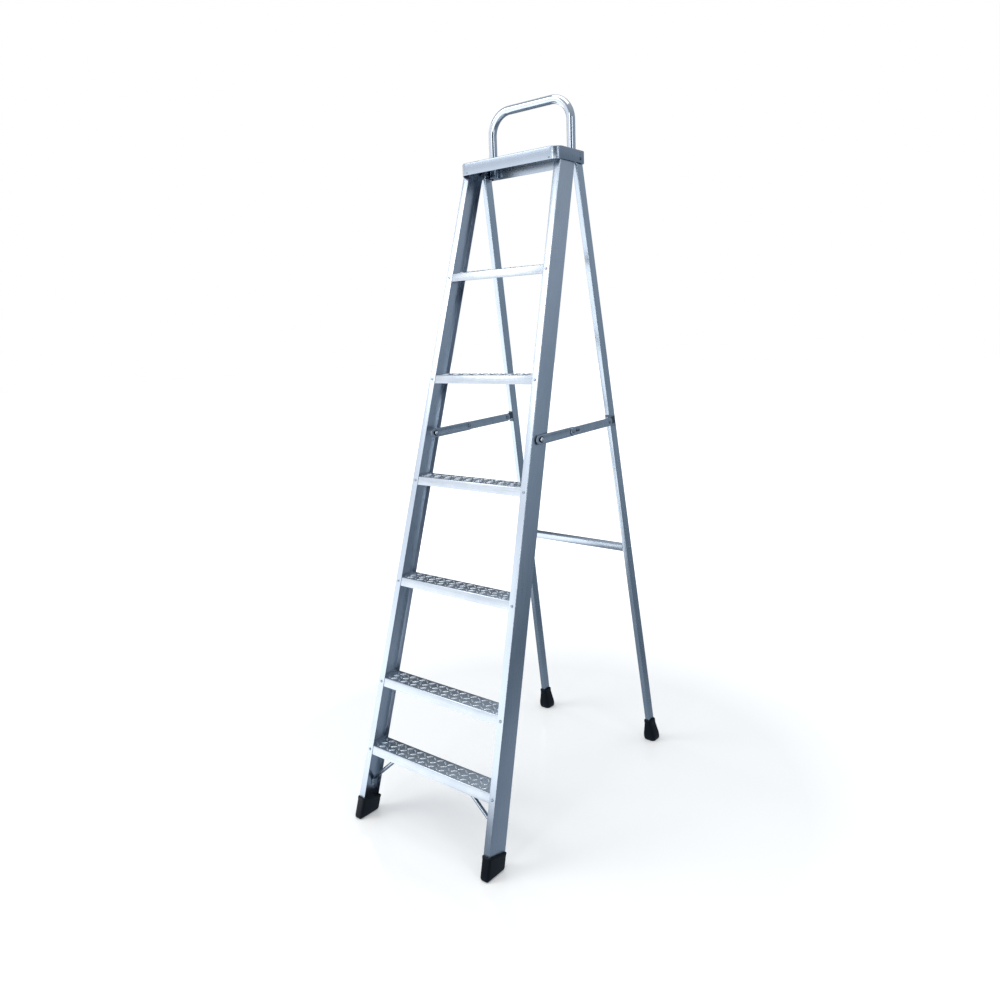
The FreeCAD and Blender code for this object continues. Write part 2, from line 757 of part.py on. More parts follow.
def make_hinge(name, side):
    """Pin through the skirt and the leg, with a bush between the two."""
    outside = vector(side * size("cap_half"), pivot.y, pivot.z)
    pin = rivet("hinge_pin_" + name, facing(X * side, outside), "pin_reach",
                "pin_head_radius", "pin_head", "pin_radius")
    keep("hinge_pin_" + name, pin)
    start = side * (size("cap_half") - size("cap_sheet") - size("bush_gap"))
    spot = vector(start, pivot.y, pivot.z)
    ring = cylinder(f"bush_{name}_body", "bush_radius", "bush_length", facing(X * -side, spot))
    hole = cylinder(f"bush_{name}_hole", "pin_radius + pin_fit", "bush_length",
                    facing(X * -side, spot))
    keep("hinge_bush_" + name, cut("hinge_bush_" + name, ring, [hole]))


def make_brace():
    place = pivot_place["right"]
    level = size("brace_level")
    spot = place.multVec(along(place, 0, 0, level))
    tilt = math.degrees(math.atan2(size("rear_run"), size("cap_level")))
    base = vector(0, spot.y, spot.z)
    body = new_body("rear_brace", FreeCAD.Placement(base, FreeCAD.Rotation(X, tilt)))
    sketch = new_sketch(body, "YZ_Plane", "brace_section")
    near_face = "brace_inset"
    far_face = "(brace_inset + brace_span)"
    polygon(sketch, [
        (near_face, "0"),
        (near_face, "-brace_lip"),
        (f"{near_face} + brace_sheet", "-brace_lip"),
        (f"{near_face} + brace_sheet", "-brace_sheet"),
        (f"{far_face} - brace_sheet", "-brace_sheet"),
        (f"{far_face} - brace_sheet", "-brace_lip"),
        (far_face, "-brace_lip"),
        (far_face, "0"),
    ])
    splay = "(rear_foot_half - rear_head_half) / cap_level"
    inside = f"rear_foot_half - {splay} * (brace_level + brace_rivet_drop) - leg_width"
    width = f"2 * ({inside} - brace_end_gap)"
    bar = pad(body, sketch, "brace_pad", width, middle=True)
    fillet(body, bar, "brace_bends", "1.4 * brace_sheet", lambda e: runs_along(e, X)
           and (near(e, 0, size("brace_inset"), 0)
                or near(e, 0, size("brace_inset") + size("brace_span"), 0)))
    keep("rear_brace", body)
    rivets = []
    for name, side in SIDES.items():
        leg = pivot_place[name]
        outward = leg.Rotation.multVec(X) * side
        for part in ("near", "far"):
            depth = size(f"brace_rivet_{part}")
            point = leg.multVec(along(leg, 0, depth, level - size("brace_rivet_drop")))
            rivets.append(rivet(f"brace_rivet_{name}_{part}", facing(outward, point),
                                "leg_width"))
    keep("brace_rivets", group("brace_rivets", rivets))


# ---------------------------------------------------------------- spreaders
stile_slope = size("stile_run") / size("cap_level")
stud_y = head_y - stile_slope * (size("cap_level") - size("stud_level")) + size("stud_setback")
leg_slope = size("rear_run") / size("cap_level")
face_y = head_y + size("rear_face") + leg_slope * (size("cap_level") - size("ear_level"))
stud = vector(0, stud_y, size("stud_level"))
ear = vector(0, face_y - size("ear_reach"), size("ear_level"))
span = (ear - stud).Length
rear_link_length = span - size("front_link")
reach_way = (ear - stud).normalize()
knee = stud + reach_way * size("front_link")


def link_planes(name, side):
    """X of the near face of the front link, rear link and ear, going up from the lowest."""
    sheet_gap = size("link_sheet") + size("link_gap")
    if side > 0:
        front = size("right_link_plane")
        return front, front + sheet_gap, front - size("ear_step")
    front = -size("left_link_plane") - size("link_sheet")
    rear = front - sheet_gap
    return front, rear, rear - size("link_gap") - size("ear_sheet")


def make_link(node, x, start, end, width, before, after):
    """Flat bar with rounded ends and a bore at each pivot, lying in a YZ plane."""
    length = (end - start).Length
    place = frame((end - start).normalize(), X, vector(x, start.y, start.z))
    body = new_body(node, place)
    sketch = new_sketch(body, "XY_Plane", node + "_outline")
    rectangle(sketch, f"-{before}", f"{length:.4f} + {after}", f"-{width} / 2", f"{width} / 2")
    bar = pad(body, sketch, node + "_pad", "link_sheet")
    fillet(body, bar, node + "_ends", f"0.48 * {width}", lambda e: runs_along(e, Z))
    bores = new_sketch(body, "XY_Plane", node + "_bores")
    circle(bores, "0", "0", "link_hole")
    circle(bores, f"{length:.4f}", "0", "link_hole")
    pocket(body, bores, node + "_holes")
    keep(node, body)


def stem(node, x, length, point, side, head=True):
    """Shouldered pin that stands along X from x, towards the given side."""
    where = facing(X * side, vector(x, point.y, point.z))
    shank = cylinder(node + "_shank", "stud_radius", str(round(length, 4)), where)
    if not head:
        return shank
    cap = doc.addObject("Part::Cone", node + "_cap")
    bind(cap, "Radius1", "stud_head_radius")
    bind(cap, "Radius2", "0.7 * stud_head_radius")
    bind(cap, "Height", "stud_head")
    cap.Placement = facing(X * side, vector(x + side * length, point.y, point.z))
    return fuse(node, [shank, cap])


def make_spreader(name, side):
    front_x, rear_x, ear_x = link_planes(name, side)
    sheet = size("link_sheet")
    make_link("spreader_front_" + name, front_x, stud, knee, "front_link_width",
              "front_tip", "link_end")
    make_link("spreader_rear_" + name, rear_x, knee, ear, "rear_link_width",
              "link_end", "link_end")
    # the stud stands off the stile's web, outside it on the right and inside it on the left
    splay = (size("foot_half") - size("head_half")) / size("cap_level")
    web = size("foot_half") - splay * size("stud_level")
    play = size("pin_play")
    if side > 0:
        root_x = web + size("stud_clearance")
    else:
        root_x = size("stile_wall") + size("stud_clearance") - web
    collar_end = front_x - play
    stud_end = front_x + sheet + play
    pin = stem(f"spreader_stud_{name}_pin", root_x, stud_end - root_x, stud, 1)
    collar = cylinder(f"spreader_stud_{name}_collar", "1.9 * stud_radius",
                      str(round(collar_end - root_x, 4)),
                      facing(X, vector(root_x, stud.y, stud.z)))
    keep("spreader_stud_" + name, fuse("spreader_stud_" + name, [pin, collar]))
    make_bracket(name, side, ear_x)
    # pin that joins the ear to the rear link
    low = min(ear_x, rear_x) - play
    high = max(ear_x + size("ear_sheet"), rear_x + sheet) + play
    begin = low if side > 0 else high
    joint_pin = stem(f"bracket_pin_{name}", begin, high - low, ear, side)
    back = cylinder(f"bracket_pin_{name}_back", "stud_head_radius", "pin_back",
                    facing(X * -side, vector(begin, ear.y, ear.z)))
    keep("bracket_pin_" + name, fuse("bracket_pin_whole_" + name, [joint_pin, back]))
    # the knee: one half of the rivet on each link, so that the links can part
    front_out = front_x if rear_x > front_x else front_x + sheet
    rear_out = rear_x + sheet if rear_x > front_x else rear_x
    toward = 1 if rear_x > front_x else -1
    keep(f"knee_rivet_{name}", stem(f"knee_rivet_{name}", front_out + toward * sheet,
                                    sheet + 0.1, knee, -toward))
    keep(f"knee_head_{name}", stem(f"knee_head_{name}", rear_out - toward * sheet,
                                   sheet + 0.1, knee, toward))


def make_bracket(name, side, ear_x):
    """L bracket: a plate on the leg's front face, bent forward into an ear."""
    tilt = math.degrees(math.atan2(size("rear_run"), size("cap_level")))
    turn = FreeCAD.Rotation(X, tilt)
    origin = vector(0, face_y, size("ear_level"))
    place = FreeCAD.Placement(origin, turn)
    local_ear = place.inverse().multVec(vector(ear_x, ear.y, ear.z))
    splay = (size("rear_foot_half") - size("rear_head_half")) / size("cap_level")
    outer = size("rear_foot_half") - splay * size("ear_level")
    inner = outer - size("leg_width")
    gap = size("bracket_gap")
    sheet = size("ear_sheet")
    if side > 0:
        low = inner + size("bracket_edge")
    else:
        low = size("bracket_edge") - outer
    high = ear_x + sheet
    z_low = -size("bracket_height") / 2
    plate = box(f"bracket_{name}_plate", str(round(high - low, 4)), "ear_sheet",
                "bracket_height", shifted(place, low, -gap - sheet, z_low))
    arm = box(f"bracket_{name}_arm", "ear_sheet", str(round(-gap - local_ear.y, 4)),
              "2 * ear_radius",
              shifted(place, ear_x, local_ear.y, local_ear.z - size("ear_radius")))
    end = cylinder(f"bracket_{name}_end", "ear_radius", "ear_sheet",
                   facing(X, vector(ear_x, ear.y, ear.z)))
    whole = fuse(f"bracket_{name}_whole", [plate, arm, end])
    bore = cylinder(f"bracket_{name}_bore", "link_hole", "4 * ear_sheet",
                    facing(X, vector(ear_x - sheet, ear.y, ear.z)))
    keep("spreader_bracket_" + name, cut("spreader_bracket_" + name, whole, [bore]))
    forward = turn.multVec(vector(0, -1, 0))
    mid = side * (outer - size("leg_width") / 2)
    rivets = []
    for number, rise in enumerate((-1, 1), start=1):
        point = place.multVec(vector(mid, -gap - sheet, rise * size("bracket_rivet_rise")))
        rivets.append(rivet(f"bracket_rivet_{name}_{number}", facing(forward, point),
                            "rivet_shank", "0.8 * rivet_head_radius"))
    keep("bracket_rivets_" + name, group("bracket_rivets_" + name, rivets))


# ---------------------------------------------------------------- build
for side_name, side_sign in SIDES.items():
    make_stile(side_name, side_sign)
    make_step_rivets(side_name, side_sign)
    make_strut(side_name, side_sign)
    make_front_boot(side_name, side_sign)
    make_rear_leg(side_name, side_sign)
    make_rear_boot(side_name, side_sign)
    make_hinge(side_name, side_sign)
    make_spreader(side_name, side_sign)
for step_number in range(1, STEP_COUNT + 1):
    make_step(step_number)
make_cap()
make_cap_rivets()
make_hoop()
make_hoop_rivets()
make_strut_rivets()
make_brace()
doc.recompute()

for item in doc.Objects:
    if "Invalid" in item.State or "Error" in item.State:
        raise RuntimeError(f"{item.Name} failed: {item.State}")

os.makedirs("parts", exist_ok=True)
whole_box = FreeCAD.BoundBox()
for node, item in nodes.items():
    shape = item.Shape
    if shape.isNull() or not shape.isValid() or not shape.Solids:
        raise RuntimeError(f"{node} has no valid shape")
    whole_box.add(shape.optimalBoundingBox(False, False))
    shape.exportStep(f"parts/{node}.step")
    print(f"{node}: {len(shape.Solids)} solids, {shape.Volume:.0f} mm3")
print("box", whole_box)
print("pivot", pivot.y, pivot.z)
print("stud", stud.y, stud.z, "ear", ear.y, ear.z, "knee", knee.y, knee.z)
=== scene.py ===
import json
import math

import bmesh
import bpy
from mathutils import Euler, Matrix, Vector


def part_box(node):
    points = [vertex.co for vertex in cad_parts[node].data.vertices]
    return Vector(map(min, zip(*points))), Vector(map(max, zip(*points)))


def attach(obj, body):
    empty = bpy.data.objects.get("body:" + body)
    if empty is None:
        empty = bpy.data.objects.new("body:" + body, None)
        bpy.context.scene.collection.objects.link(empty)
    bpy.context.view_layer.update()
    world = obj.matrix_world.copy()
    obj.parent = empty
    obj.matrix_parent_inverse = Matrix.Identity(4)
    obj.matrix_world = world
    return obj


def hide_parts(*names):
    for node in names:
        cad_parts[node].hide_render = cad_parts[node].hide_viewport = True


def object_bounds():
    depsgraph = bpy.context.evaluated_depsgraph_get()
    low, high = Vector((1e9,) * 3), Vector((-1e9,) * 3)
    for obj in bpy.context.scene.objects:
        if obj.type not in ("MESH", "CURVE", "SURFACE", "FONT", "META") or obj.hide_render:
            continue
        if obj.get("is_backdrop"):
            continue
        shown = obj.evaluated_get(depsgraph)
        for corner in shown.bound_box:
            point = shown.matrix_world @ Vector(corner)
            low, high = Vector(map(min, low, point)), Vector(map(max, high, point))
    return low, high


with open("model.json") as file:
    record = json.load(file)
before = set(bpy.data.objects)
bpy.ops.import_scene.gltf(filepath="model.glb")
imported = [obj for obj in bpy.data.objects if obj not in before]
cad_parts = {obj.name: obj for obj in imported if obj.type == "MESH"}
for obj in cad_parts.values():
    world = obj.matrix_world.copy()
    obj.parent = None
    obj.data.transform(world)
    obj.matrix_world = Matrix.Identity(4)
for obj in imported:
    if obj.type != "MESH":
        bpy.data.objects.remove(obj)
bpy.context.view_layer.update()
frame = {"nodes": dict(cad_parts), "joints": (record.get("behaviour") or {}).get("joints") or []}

mm = 0.001
near = 0.00001                            # two places this close are the same
joints = {joint["name"]: joint for joint in frame["joints"]}
sides = {"left": -1, "right": 1}
bpy.ops.object.select_all(action="DESELECT")
print("frame loaded")

# camera: eye height of a person standing off the right front corner
view = {"spot": (1.5566, -1.9566, 1.4416), "yaw": 39.3346, "down": 11.4551, "roll": -2.0861, "lens": 29.602,
        "far": 60}
bpy.ops.object.camera_add()
camera = bpy.context.object
camera.name = "viewCamera"
turnHead = Matrix.Rotation(math.radians(view["yaw"]), 3, "Z")
tipHead = Matrix.Rotation(math.radians(90 - view["down"]), 3, "X")
rollHead = Matrix.Rotation(math.radians(view["roll"]), 3, "Z")
camera.location = view["spot"]
camera.rotation_euler = (turnHead @ tipHead @ rollHead).to_euler()
camera.data.lens = view["lens"]
camera.data.clip_end = view["far"]
bpy.context.scene.camera = camera


def linear(hexText):
    # sRGB hex to the linear colour that the shaders work in
    parts = [int(hexText[i:i + 2], 16) / 255 for i in (1, 3, 5)]
    return tuple(p / 12.92 if p <= 0.04045 else ((p + 0.055) / 1.055) ** 2.4 for p in parts) + (1.0,)


def addNode(tree, kind, settings=None, links=None):
    # one node: its own settings first, then socket values, then what feeds it
    node = tree.nodes.new(kind)
    for key, value in (settings or {}).items():
        if isinstance(key, str) and hasattr(node, key):
            setattr(node, key, value)
        else:
            node.inputs[key].default_value = value
    for key, source in (links or {}).items():
        tree.links.new(source, node.inputs[key])
    return node


def newMaterial(name):
    material = bpy.data.materials.new(name)
    material.use_nodes = True
    tree = material.node_tree
    tree.nodes.clear()
    return material, tree


def makeMetal(finish):
    # drawn or rolled metal: long fine grain, slow blotches of oxide, faint handling scuffs
    material, tree = newMaterial(finish["name"])
    place = addNode(tree, "ShaderNodeTexCoord").outputs["Object"]
    turned = addNode(tree, "ShaderNodeMapping", {"Rotation": Euler(map(math.radians, finish["turn"]))},
                     {"Vector": place})
    across, along = 1 / (finish["grainWidth"] * mm), 1 / (finish["grainLength"] * mm)
    stretch = [along if axis == finish["grainAxis"] else across for axis in "XYZ"]
    grainPlace = addNode(tree, "ShaderNodeMapping", {"Scale": stretch}, {"Vector": turned.outputs[0]})
    grain = addNode(tree, "ShaderNodeTexNoise", {"Scale": 1.0, "Detail": 3.0, "Roughness": 0.6},
                    {"Vector": grainPlace.outputs[0]})
    blotch = addNode(tree, "ShaderNodeTexNoise", {"Scale": 1 / (finish["blotch"] * mm), "Detail": 4.0,
                     "Roughness": 0.55}, {"Vector": place})
    scuffPlace = addNode(tree, "ShaderNodeMapping", {"Scale": (38, 38, 9), "Rotation": (0.5, 0.3, 0.2)},
                         {"Vector": place})
    scuff = addNode(tree, "ShaderNodeTexNoise", {"Scale": 3.0, "Detail": 6.0, "Roughness": 0.7},
                    {"Vector": scuffPlace.outputs[0]})
    scuffed = addNode(tree, "ShaderNodeMapRange", {"From Min": 0.56, "From Max": 0.74, "To Min": 0.0,
                      "To Max": finish["scuff"]}, {"Value": scuff.outputs[0]})
    toned = addNode(tree, "ShaderNodeMix", {"data_type": "RGBA", 6: linear(finish["dull"]),
                    7: linear(finish["bright"])}, {0: blotch.outputs[0]})
    streak = addNode(tree, "ShaderNodeMapRange", {"From Min": 0.3, "From Max": 0.7,
                     "To Min": 1 - finish["streak"], "To Max": 1.0}, {"Value": grain.outputs[0]})
    streaked = addNode(tree, "ShaderNodeMix", {"data_type": "RGBA", "blend_type": "MULTIPLY", 0: 1.0},
                       {6: toned.outputs[2], 7: streak.outputs[0]})
    colour = streaked.outputs[2]
    if "wearAndShine" in finish:
        # raised spots are rubbed bright by wear and painted brighter as a highlight; their own attribute
        # marks them
        mark = addNode(tree, "ShaderNodeAttribute", {"attribute_name": "wearAndShine"}).outputs["Fac"]
        wearAndShineMix = addNode(tree, "ShaderNodeMix", {"data_type": "RGBA", 7: linear(finish["wearAndShine"])},
                         {0: mark, 6: colour})
        colour = wearAndShineMix.outputs[2]
    rough = addNode(tree, "ShaderNodeMapRange", {"From Min": 0.25, "From Max": 0.75,
                    "To Min": finish["rough"] - finish["roughSpread"],
                    "To Max": finish["rough"] + finish["roughSpread"]}, {"Value": grain.outputs[0]})
    rougher = addNode(tree, "ShaderNodeMath", {"operation": "ADD", "use_clamp": True},
                      {0: rough.outputs[0], 1: scuffed.outputs[0]})
    bump = addNode(tree, "ShaderNodeBump", {"Strength": finish["bump"], "Distance": 0.0006},
                   {"Height": grain.outputs[0]})
    shader = addNode(tree, "ShaderNodeBsdfPrincipled", {"Metallic": 1.0},
                     {"Base Color": colour, "Roughness": rougher.outputs[0],
                      "Normal": bump.outputs[0]})
    addNode(tree, "ShaderNodeOutputMaterial", None, {"Surface": shader.outputs[0]})
    return material


def makeRubber(finish):
    # moulded black rubber: soft sheen, fine mould grain, pale floor dust low down
    material, tree = newMaterial(finish["name"])
    place = addNode(tree, "ShaderNodeTexCoord").outputs["Object"]
    grain = addNode(tree, "ShaderNodeTexNoise", {"Scale": 1 / (finish["grain"] * mm), "Detail": 5.0,
                    "Roughness": 0.65}, {"Vector": place})
    dustNoise = addNode(tree, "ShaderNodeTexNoise", {"Scale": 1 / (finish["dustPatch"] * mm),
                        "Detail": 5.0}, {"Vector": place})
    height = addNode(tree, "ShaderNodeSeparateXYZ", None, {"Vector": place})
    low = addNode(tree, "ShaderNodeMapRange", {"From Min": 0.0, "From Max": finish["dustTop"] * mm,
                  "To Min": 0.75, "To Max": 0.12}, {"Value": height.outputs["Z"]})
    dust = addNode(tree, "ShaderNodeMath", {"operation": "MULTIPLY"},
                   {0: low.outputs[0], 1: dustNoise.outputs[0]})
    toned = addNode(tree, "ShaderNodeMix", {"data_type": "RGBA", 6: linear(finish["rubber"]),
                    7: linear(finish["dust"])}, {0: dust.outputs[0]})
    rough = addNode(tree, "ShaderNodeMapRange", {"To Min": finish["rough"] - 0.1,
                    "To Max": finish["rough"] + 0.14}, {"Value": grain.outputs[0]})
    bump = addNode(tree, "ShaderNodeBump", {"Strength": 0.35, "Distance": 0.0004},
                   {"Height": grain.outputs[0]})
    shader = addNode(tree, "ShaderNodeBsdfPrincipled",
                     {"Metallic": 0.0, "IOR": 1.52, "Specular IOR Level": 0.18},
                     {"Base Color": toned.outputs[2], "Roughness": rough.outputs[0],
                      "Normal": bump.outputs[0]})
    addNode(tree, "ShaderNodeOutputMaterial", None, {"Surface": shader.outputs[0]})
    return material


# lean of the rails, from their run over their rise
stileLean = math.degrees(math.atan(0.2799))
legLean = -math.degrees(math.atan(0.1737))

# grain is really about 0.1 mm wide; it is drawn 1 to 3 mm wide so that it shows at this distance
# extruded aluminium, mill finish: die lines run up the rail, soft satin reflections
stileAluminium = makeMetal({
    "name": "extrudedAluminiumStile", "bright": "#c3ccd6", "dull": "#a9b5c2",
    "rough": 0.30, "roughSpread": 0.05,
    "grainWidth": 2.6, "grainLength": 420, "grainAxis": "Z", "turn": (stileLean, 0, 0), "blotch": 160,
    "streak": 0.10, "scuff": 0.10, "bump": 0.05})
legAluminium = makeMetal({
    "name": "drawnAluminiumLeg", "bright": "#bfc9d3", "dull": "#a3b0bd", "rough": 0.24, "roughSpread": 0.05,
    "grainWidth": 2.2, "grainLength": 380, "grainAxis": "Z", "turn": (legLean, 0, 0), "blotch": 140,
    "streak": 0.10, "scuff": 0.10, "bump": 0.05})
# folded aluminium sheet of the brace, grain the long way
braceAluminium = makeMetal({
    "name": "foldedAluminiumBrace", "bright": "#c3ccd6", "dull": "#a9b5c2",
    "rough": 0.26, "roughSpread": 0.04,
    "grainWidth": 2.0, "grainLength": 160, "grainAxis": "X", "turn": (0, 0, 0), "blotch": 120,
    "streak": 0.08, "scuff": 0.08, "bump": 0.03})
# rolled aluminium sheet: grain along the tread, dulled by shoes
treadAluminium = makeMetal({
    "name": "rolledAluminiumTread", "wearAndShine": "#dce2e8", "bright": "#c8cfd7", "dull": "#a9b3bd",
    "rough": 0.30, "roughSpread": 0.06,
    "grainWidth": 1.8, "grainLength": 90, "grainAxis": "X", "turn": (0, 0, 0), "blotch": 60,
    "streak": 0.14, "scuff": 0.22, "bump": 0.10})
# folded aluminium sheet, brushed the long way
capAluminium = makeMetal({
    "name": "brushedAluminiumCap", "bright": "#9da7b3", "dull": "#929da9", "rough": 0.27, "roughSpread": 0.05,
    "grainWidth": 1.6, "grainLength": 150, "grainAxis": "X", "turn": (0, 0, 0), "blotch": 110,
    "streak": 0.05, "scuff": 0.05, "bump": 0.02})
# polished aluminium tube: near mirror, a few hairlines and hand marks
tubeAluminium = makeMetal({
    "name": "polishedAluminiumTube", "bright": "#bfc6ce", "dull": "#b0b9c3",
    "rough": 0.085, "roughSpread": 0.01,
    "grainWidth": 1.4, "grainLength": 60, "grainAxis": "X", "turn": (0, 0, 0), "blotch": 45,
    "streak": 0.02, "scuff": 0.02, "bump": 0.005})
# zinc plated steel strap: blue grey, slightly cloudy
strapSteel = makeMetal({
    "name": "zincPlatedSteelStrap", "bright": "#c0cad4", "dull": "#9ea9b5",
    "rough": 0.27, "roughSpread": 0.06,
    "grainWidth": 1.5, "grainLength": 40, "grainAxis": "Y", "turn": (0, 0, 0), "blotch": 22,
    "streak": 0.12, "scuff": 0.15, "bump": 0.08})
# dark phosphate coated steel, as on bent brackets
bracketSteel = makeMetal({
    "name": "phosphatedSteelBracket", "bright": "#616c78", "dull": "#444e59",
    "rough": 0.38, "roughSpread": 0.08,
    "grainWidth": 2.0, "grainLength": 12, "grainAxis": "Z", "turn": (0, 0, 0), "blotch": 12,
    "streak": 0.15, "scuff": 0.20, "bump": 0.10})
# cold headed fasteners, zinc plated: bright domes
rivetMetal = makeMetal({
    "name": "zincPlatedRivet", "bright": "#a2adb8", "dull": "#75808c", "rough": 0.22, "roughSpread": 0.05,
    "grainWidth": 1.0, "grainLength": 3, "grainAxis": "Z", "turn": (0, 0, 0), "blotch": 6,
    "streak": 0.12, "scuff": 0.10, "bump": 0.05})
# bright nickel plated stud and its blackened washer
studMetal = makeMetal({
    "name": "nickelPlatedStud", "bright": "#e4e8ec", "dull": "#c3cad1", "rough": 0.15, "roughSpread": 0.04,
    "grainWidth": 1.0, "grainLength": 3, "grainAxis": "X", "turn": (0, 0, 0), "blotch": 6,
    "streak": 0.06, "scuff": 0.06, "bump": 0.03})
washerSteel = makeMetal({
    "name": "blackenedSteelWasher", "bright": "#2a323b", "dull": "#171d24",
    "rough": 0.40, "roughSpread": 0.08,
    "grainWidth": 1.0, "grainLength": 4, "grainAxis": "X", "turn": (0, 0, 0), "blotch": 5,
    "streak": 0.15, "scuff": 0.15, "bump": 0.08})
bootRubber = makeRubber({
    "name": "mouldedBlackRubber", "rubber": "#060c14", "dust": "#1a2634", "rough": 0.42, "grain": 1.6,
    "dustPatch": 14, "dustTop": 22})
print("materials made")


def choose(*pieces):
    # select these alone; the first is the active one
    bpy.ops.object.select_all(action="DESELECT")
    for piece in pieces:
        piece.select_set(True)
    bpy.context.view_layer.objects.active = pieces[0]


def editOn(piece):
    choose(piece)
    bpy.ops.object.mode_set(mode="EDIT")


def editOff():
    bpy.ops.object.mode_set(mode="OBJECT")


def centreOf(part):
    if isinstance(part, bmesh.types.BMVert):
        return part.co
    return sum((v.co for v in part.verts), Vector()) / len(part.verts)


def pick(piece, kind, test):
    # select the vertices, edges or faces whose middle passes a test
    bpy.ops.mesh.select_mode(type=kind)
    bpy.ops.mesh.select_all(action="DESELECT")
    mesh = bmesh.from_edit_mesh(piece.data)
    parts = {"VERT": mesh.verts, "EDGE": mesh.edges, "FACE": mesh.faces}[kind]
    parts.ensure_lookup_table()
    for part in [part for part in parts if test(part)]:
        part.select_set(True)
    mesh.select_flush_mode()
    bmesh.update_edit_mesh(piece.data)


def lies(edge, axis):
    # an edge that runs along X, Y or Z (0, 1 or 2)
    way = edge.verts[1].co - edge.verts[0].co
    return way.length > 1e-9 and abs(way[axis]) > 0.999 * way.length


def addBlock(name, low, high):
    # a block between two corners, its place in its mesh
    bpy.ops.object.select_all(action="DESELECT")
    centre = [(a + b) / 2 for a, b in zip(low, high)]
    bpy.ops.mesh.primitive_cube_add(size=1, location=centre, scale=[b - a for a, b in zip(low, high)])
    bpy.ops.object.transform_apply(location=True, rotation=True, scale=True)
    bpy.context.object.name = name
    return bpy.context.object


def bevelEdges(piece, radius, segments, test):
    pick(piece, "EDGE", test)
    bpy.ops.mesh.bevel(offset=radius, segments=segments, profile=0.5, affect="EDGES", clamp_overlap=False)


def runModifier(piece, kind, **settings):
    choose(piece)
    bpy.ops.object.modifier_add(type=kind)
    modifier = piece.modifiers[-1]
    for key, value in settings.items():
        setattr(modifier, key, value)
    bpy.ops.object.modifier_apply(modifier=modifier.name)


def easeEdges(piece, width, segments=2):
    runModifier(piece, "BEVEL", width=width, segments=segments, limit_method="ANGLE",
                angle_limit=math.radians(35))


def placeAt(piece, matrix):
    choose(piece)
    piece.matrix_world = matrix
    bpy.ops.object.transform_apply(location=True, rotation=True, scale=True)


def smoothPiece(piece, degrees=35):
    choose(piece)
    bpy.ops.object.shade_smooth_by_angle(angle=math.radians(degrees))


def handOver(piece, material, slot, body, *stoodFor):
    piece.data.name = piece.name
    piece.data.materials.clear()
    piece.data.materials.append(material)
    if stoodFor:
        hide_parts(*stoodFor)
    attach(piece, body)


def joinAll(name, pieces):
    choose(*pieces)
    bpy.ops.object.join()
    pieces[0].name = name
    return pieces[0]


def faceOutward():
    # in edit mode
    bpy.ops.mesh.select_all(action="SELECT")
    bpy.ops.mesh.normals_make_consistent(inside=False)


def addDisc(name, radius, around, spot):
    # a filled circle, facing up, as the start of a turned or drawn piece
    bpy.ops.object.select_all(action="DESELECT")
    bpy.ops.mesh.primitive_circle_add(vertices=around, radius=radius, fill_type="NGON", location=spot)
    bpy.ops.object.transform_apply(location=True, rotation=True, scale=True)
    bpy.context.object.name = name
    return bpy.context.object


def railFrame(side, rail):
    # X across, Y through the depth, Z up along the rail, from its outer front corner at the floor
    axis = Vector((-side * rail["splay"], rail["slope"], 1)).normalized()
    across = Vector((1, 0, side * rail["splay"])).normalized()
    matrix = Matrix((across, axis.cross(across), axis)).transposed().to_4x4()
    matrix.translation = Vector((side * rail["footHalf"], rail["footFront"], 0))
    return matrix


# stiles: channel rails, web outside
stile = {"footHalf": 0.2634, "footFront": -0.49139, "splay": 0.043907, "slope": 0.279897, "depth": 0.068,
         "flange": 0.0225, "rearFlange": 0.016, "wall": 0.0018, "corner": 0.0024, "start": 0.024,
         "length": 1.993, "edge": 0.0004}
for sideName, side in sides.items():
    inner = -side * stile["flange"]
    rail = addBlock("stileRail" + sideName.capitalize(), (min(0, inner), 0, stile["start"]),
                    (max(0, inner), stile["depth"], stile["start"] + stile["length"]))
    editOn(rail)
    pick(rail, "FACE", lambda f: abs(f.normal.z) > 0.9 or f.normal.x * side < -0.9)
    bpy.ops.mesh.delete(type="FACE")
    bevelEdges(rail, stile["corner"], 4, lambda e: lies(e, 2) and abs(centreOf(e).x) < near)
    pick(rail, "VERT", lambda v: abs(v.co.x - inner) < near and v.co.y > stile["depth"] / 2)
    bpy.ops.transform.translate(value=(side * (stile["flange"] - stile["rearFlange"]), 0, 0))
    editOff()
    runModifier(rail, "SOLIDIFY", thickness=stile["wall"], offset=-1, use_even_offset=True)
    easeEdges(rail, stile["edge"])
    smoothPiece(rail)
    placeAt(rail, railFrame(side, stile))
    handOver(rail, stileAluminium, "rail", "root", "stile_" + sideName)
print("stiles made")

# rear legs: rectangular tube, round crown at the hinge
leg = {"footHalf": 0.2384, "footFront": 0.45661, "splay": 0.032082, "slope": -0.173728, "depth": 0.032,
       "width": 0.016, "corner": 0.003, "start": 0.006, "length": 1.959, "crownFlat": 0.0001}
for sideName, side in sides.items():
    inner = -side * leg["width"]
    crown = leg["start"] + leg["length"]
    rail = addBlock("rearLeg" + sideName.capitalize(), (min(0, inner), 0, leg["start"]),
                    (max(0, inner), leg["depth"], crown))
    editOn(rail)
    bevelEdges(rail, leg["depth"] / 2 - leg["crownFlat"], 8,
               lambda e: lies(e, 0) and abs(centreOf(e).z - crown) < near)
    editOff()
    easeEdges(rail, leg["corner"], 4)
    smoothPiece(rail, 40)
    placeAt(rail, railFrame(side, leg))
    handOver(rail, legAluminium, "rail", "rear_frame", "rear_leg_" + sideName)
print("rear legs made")


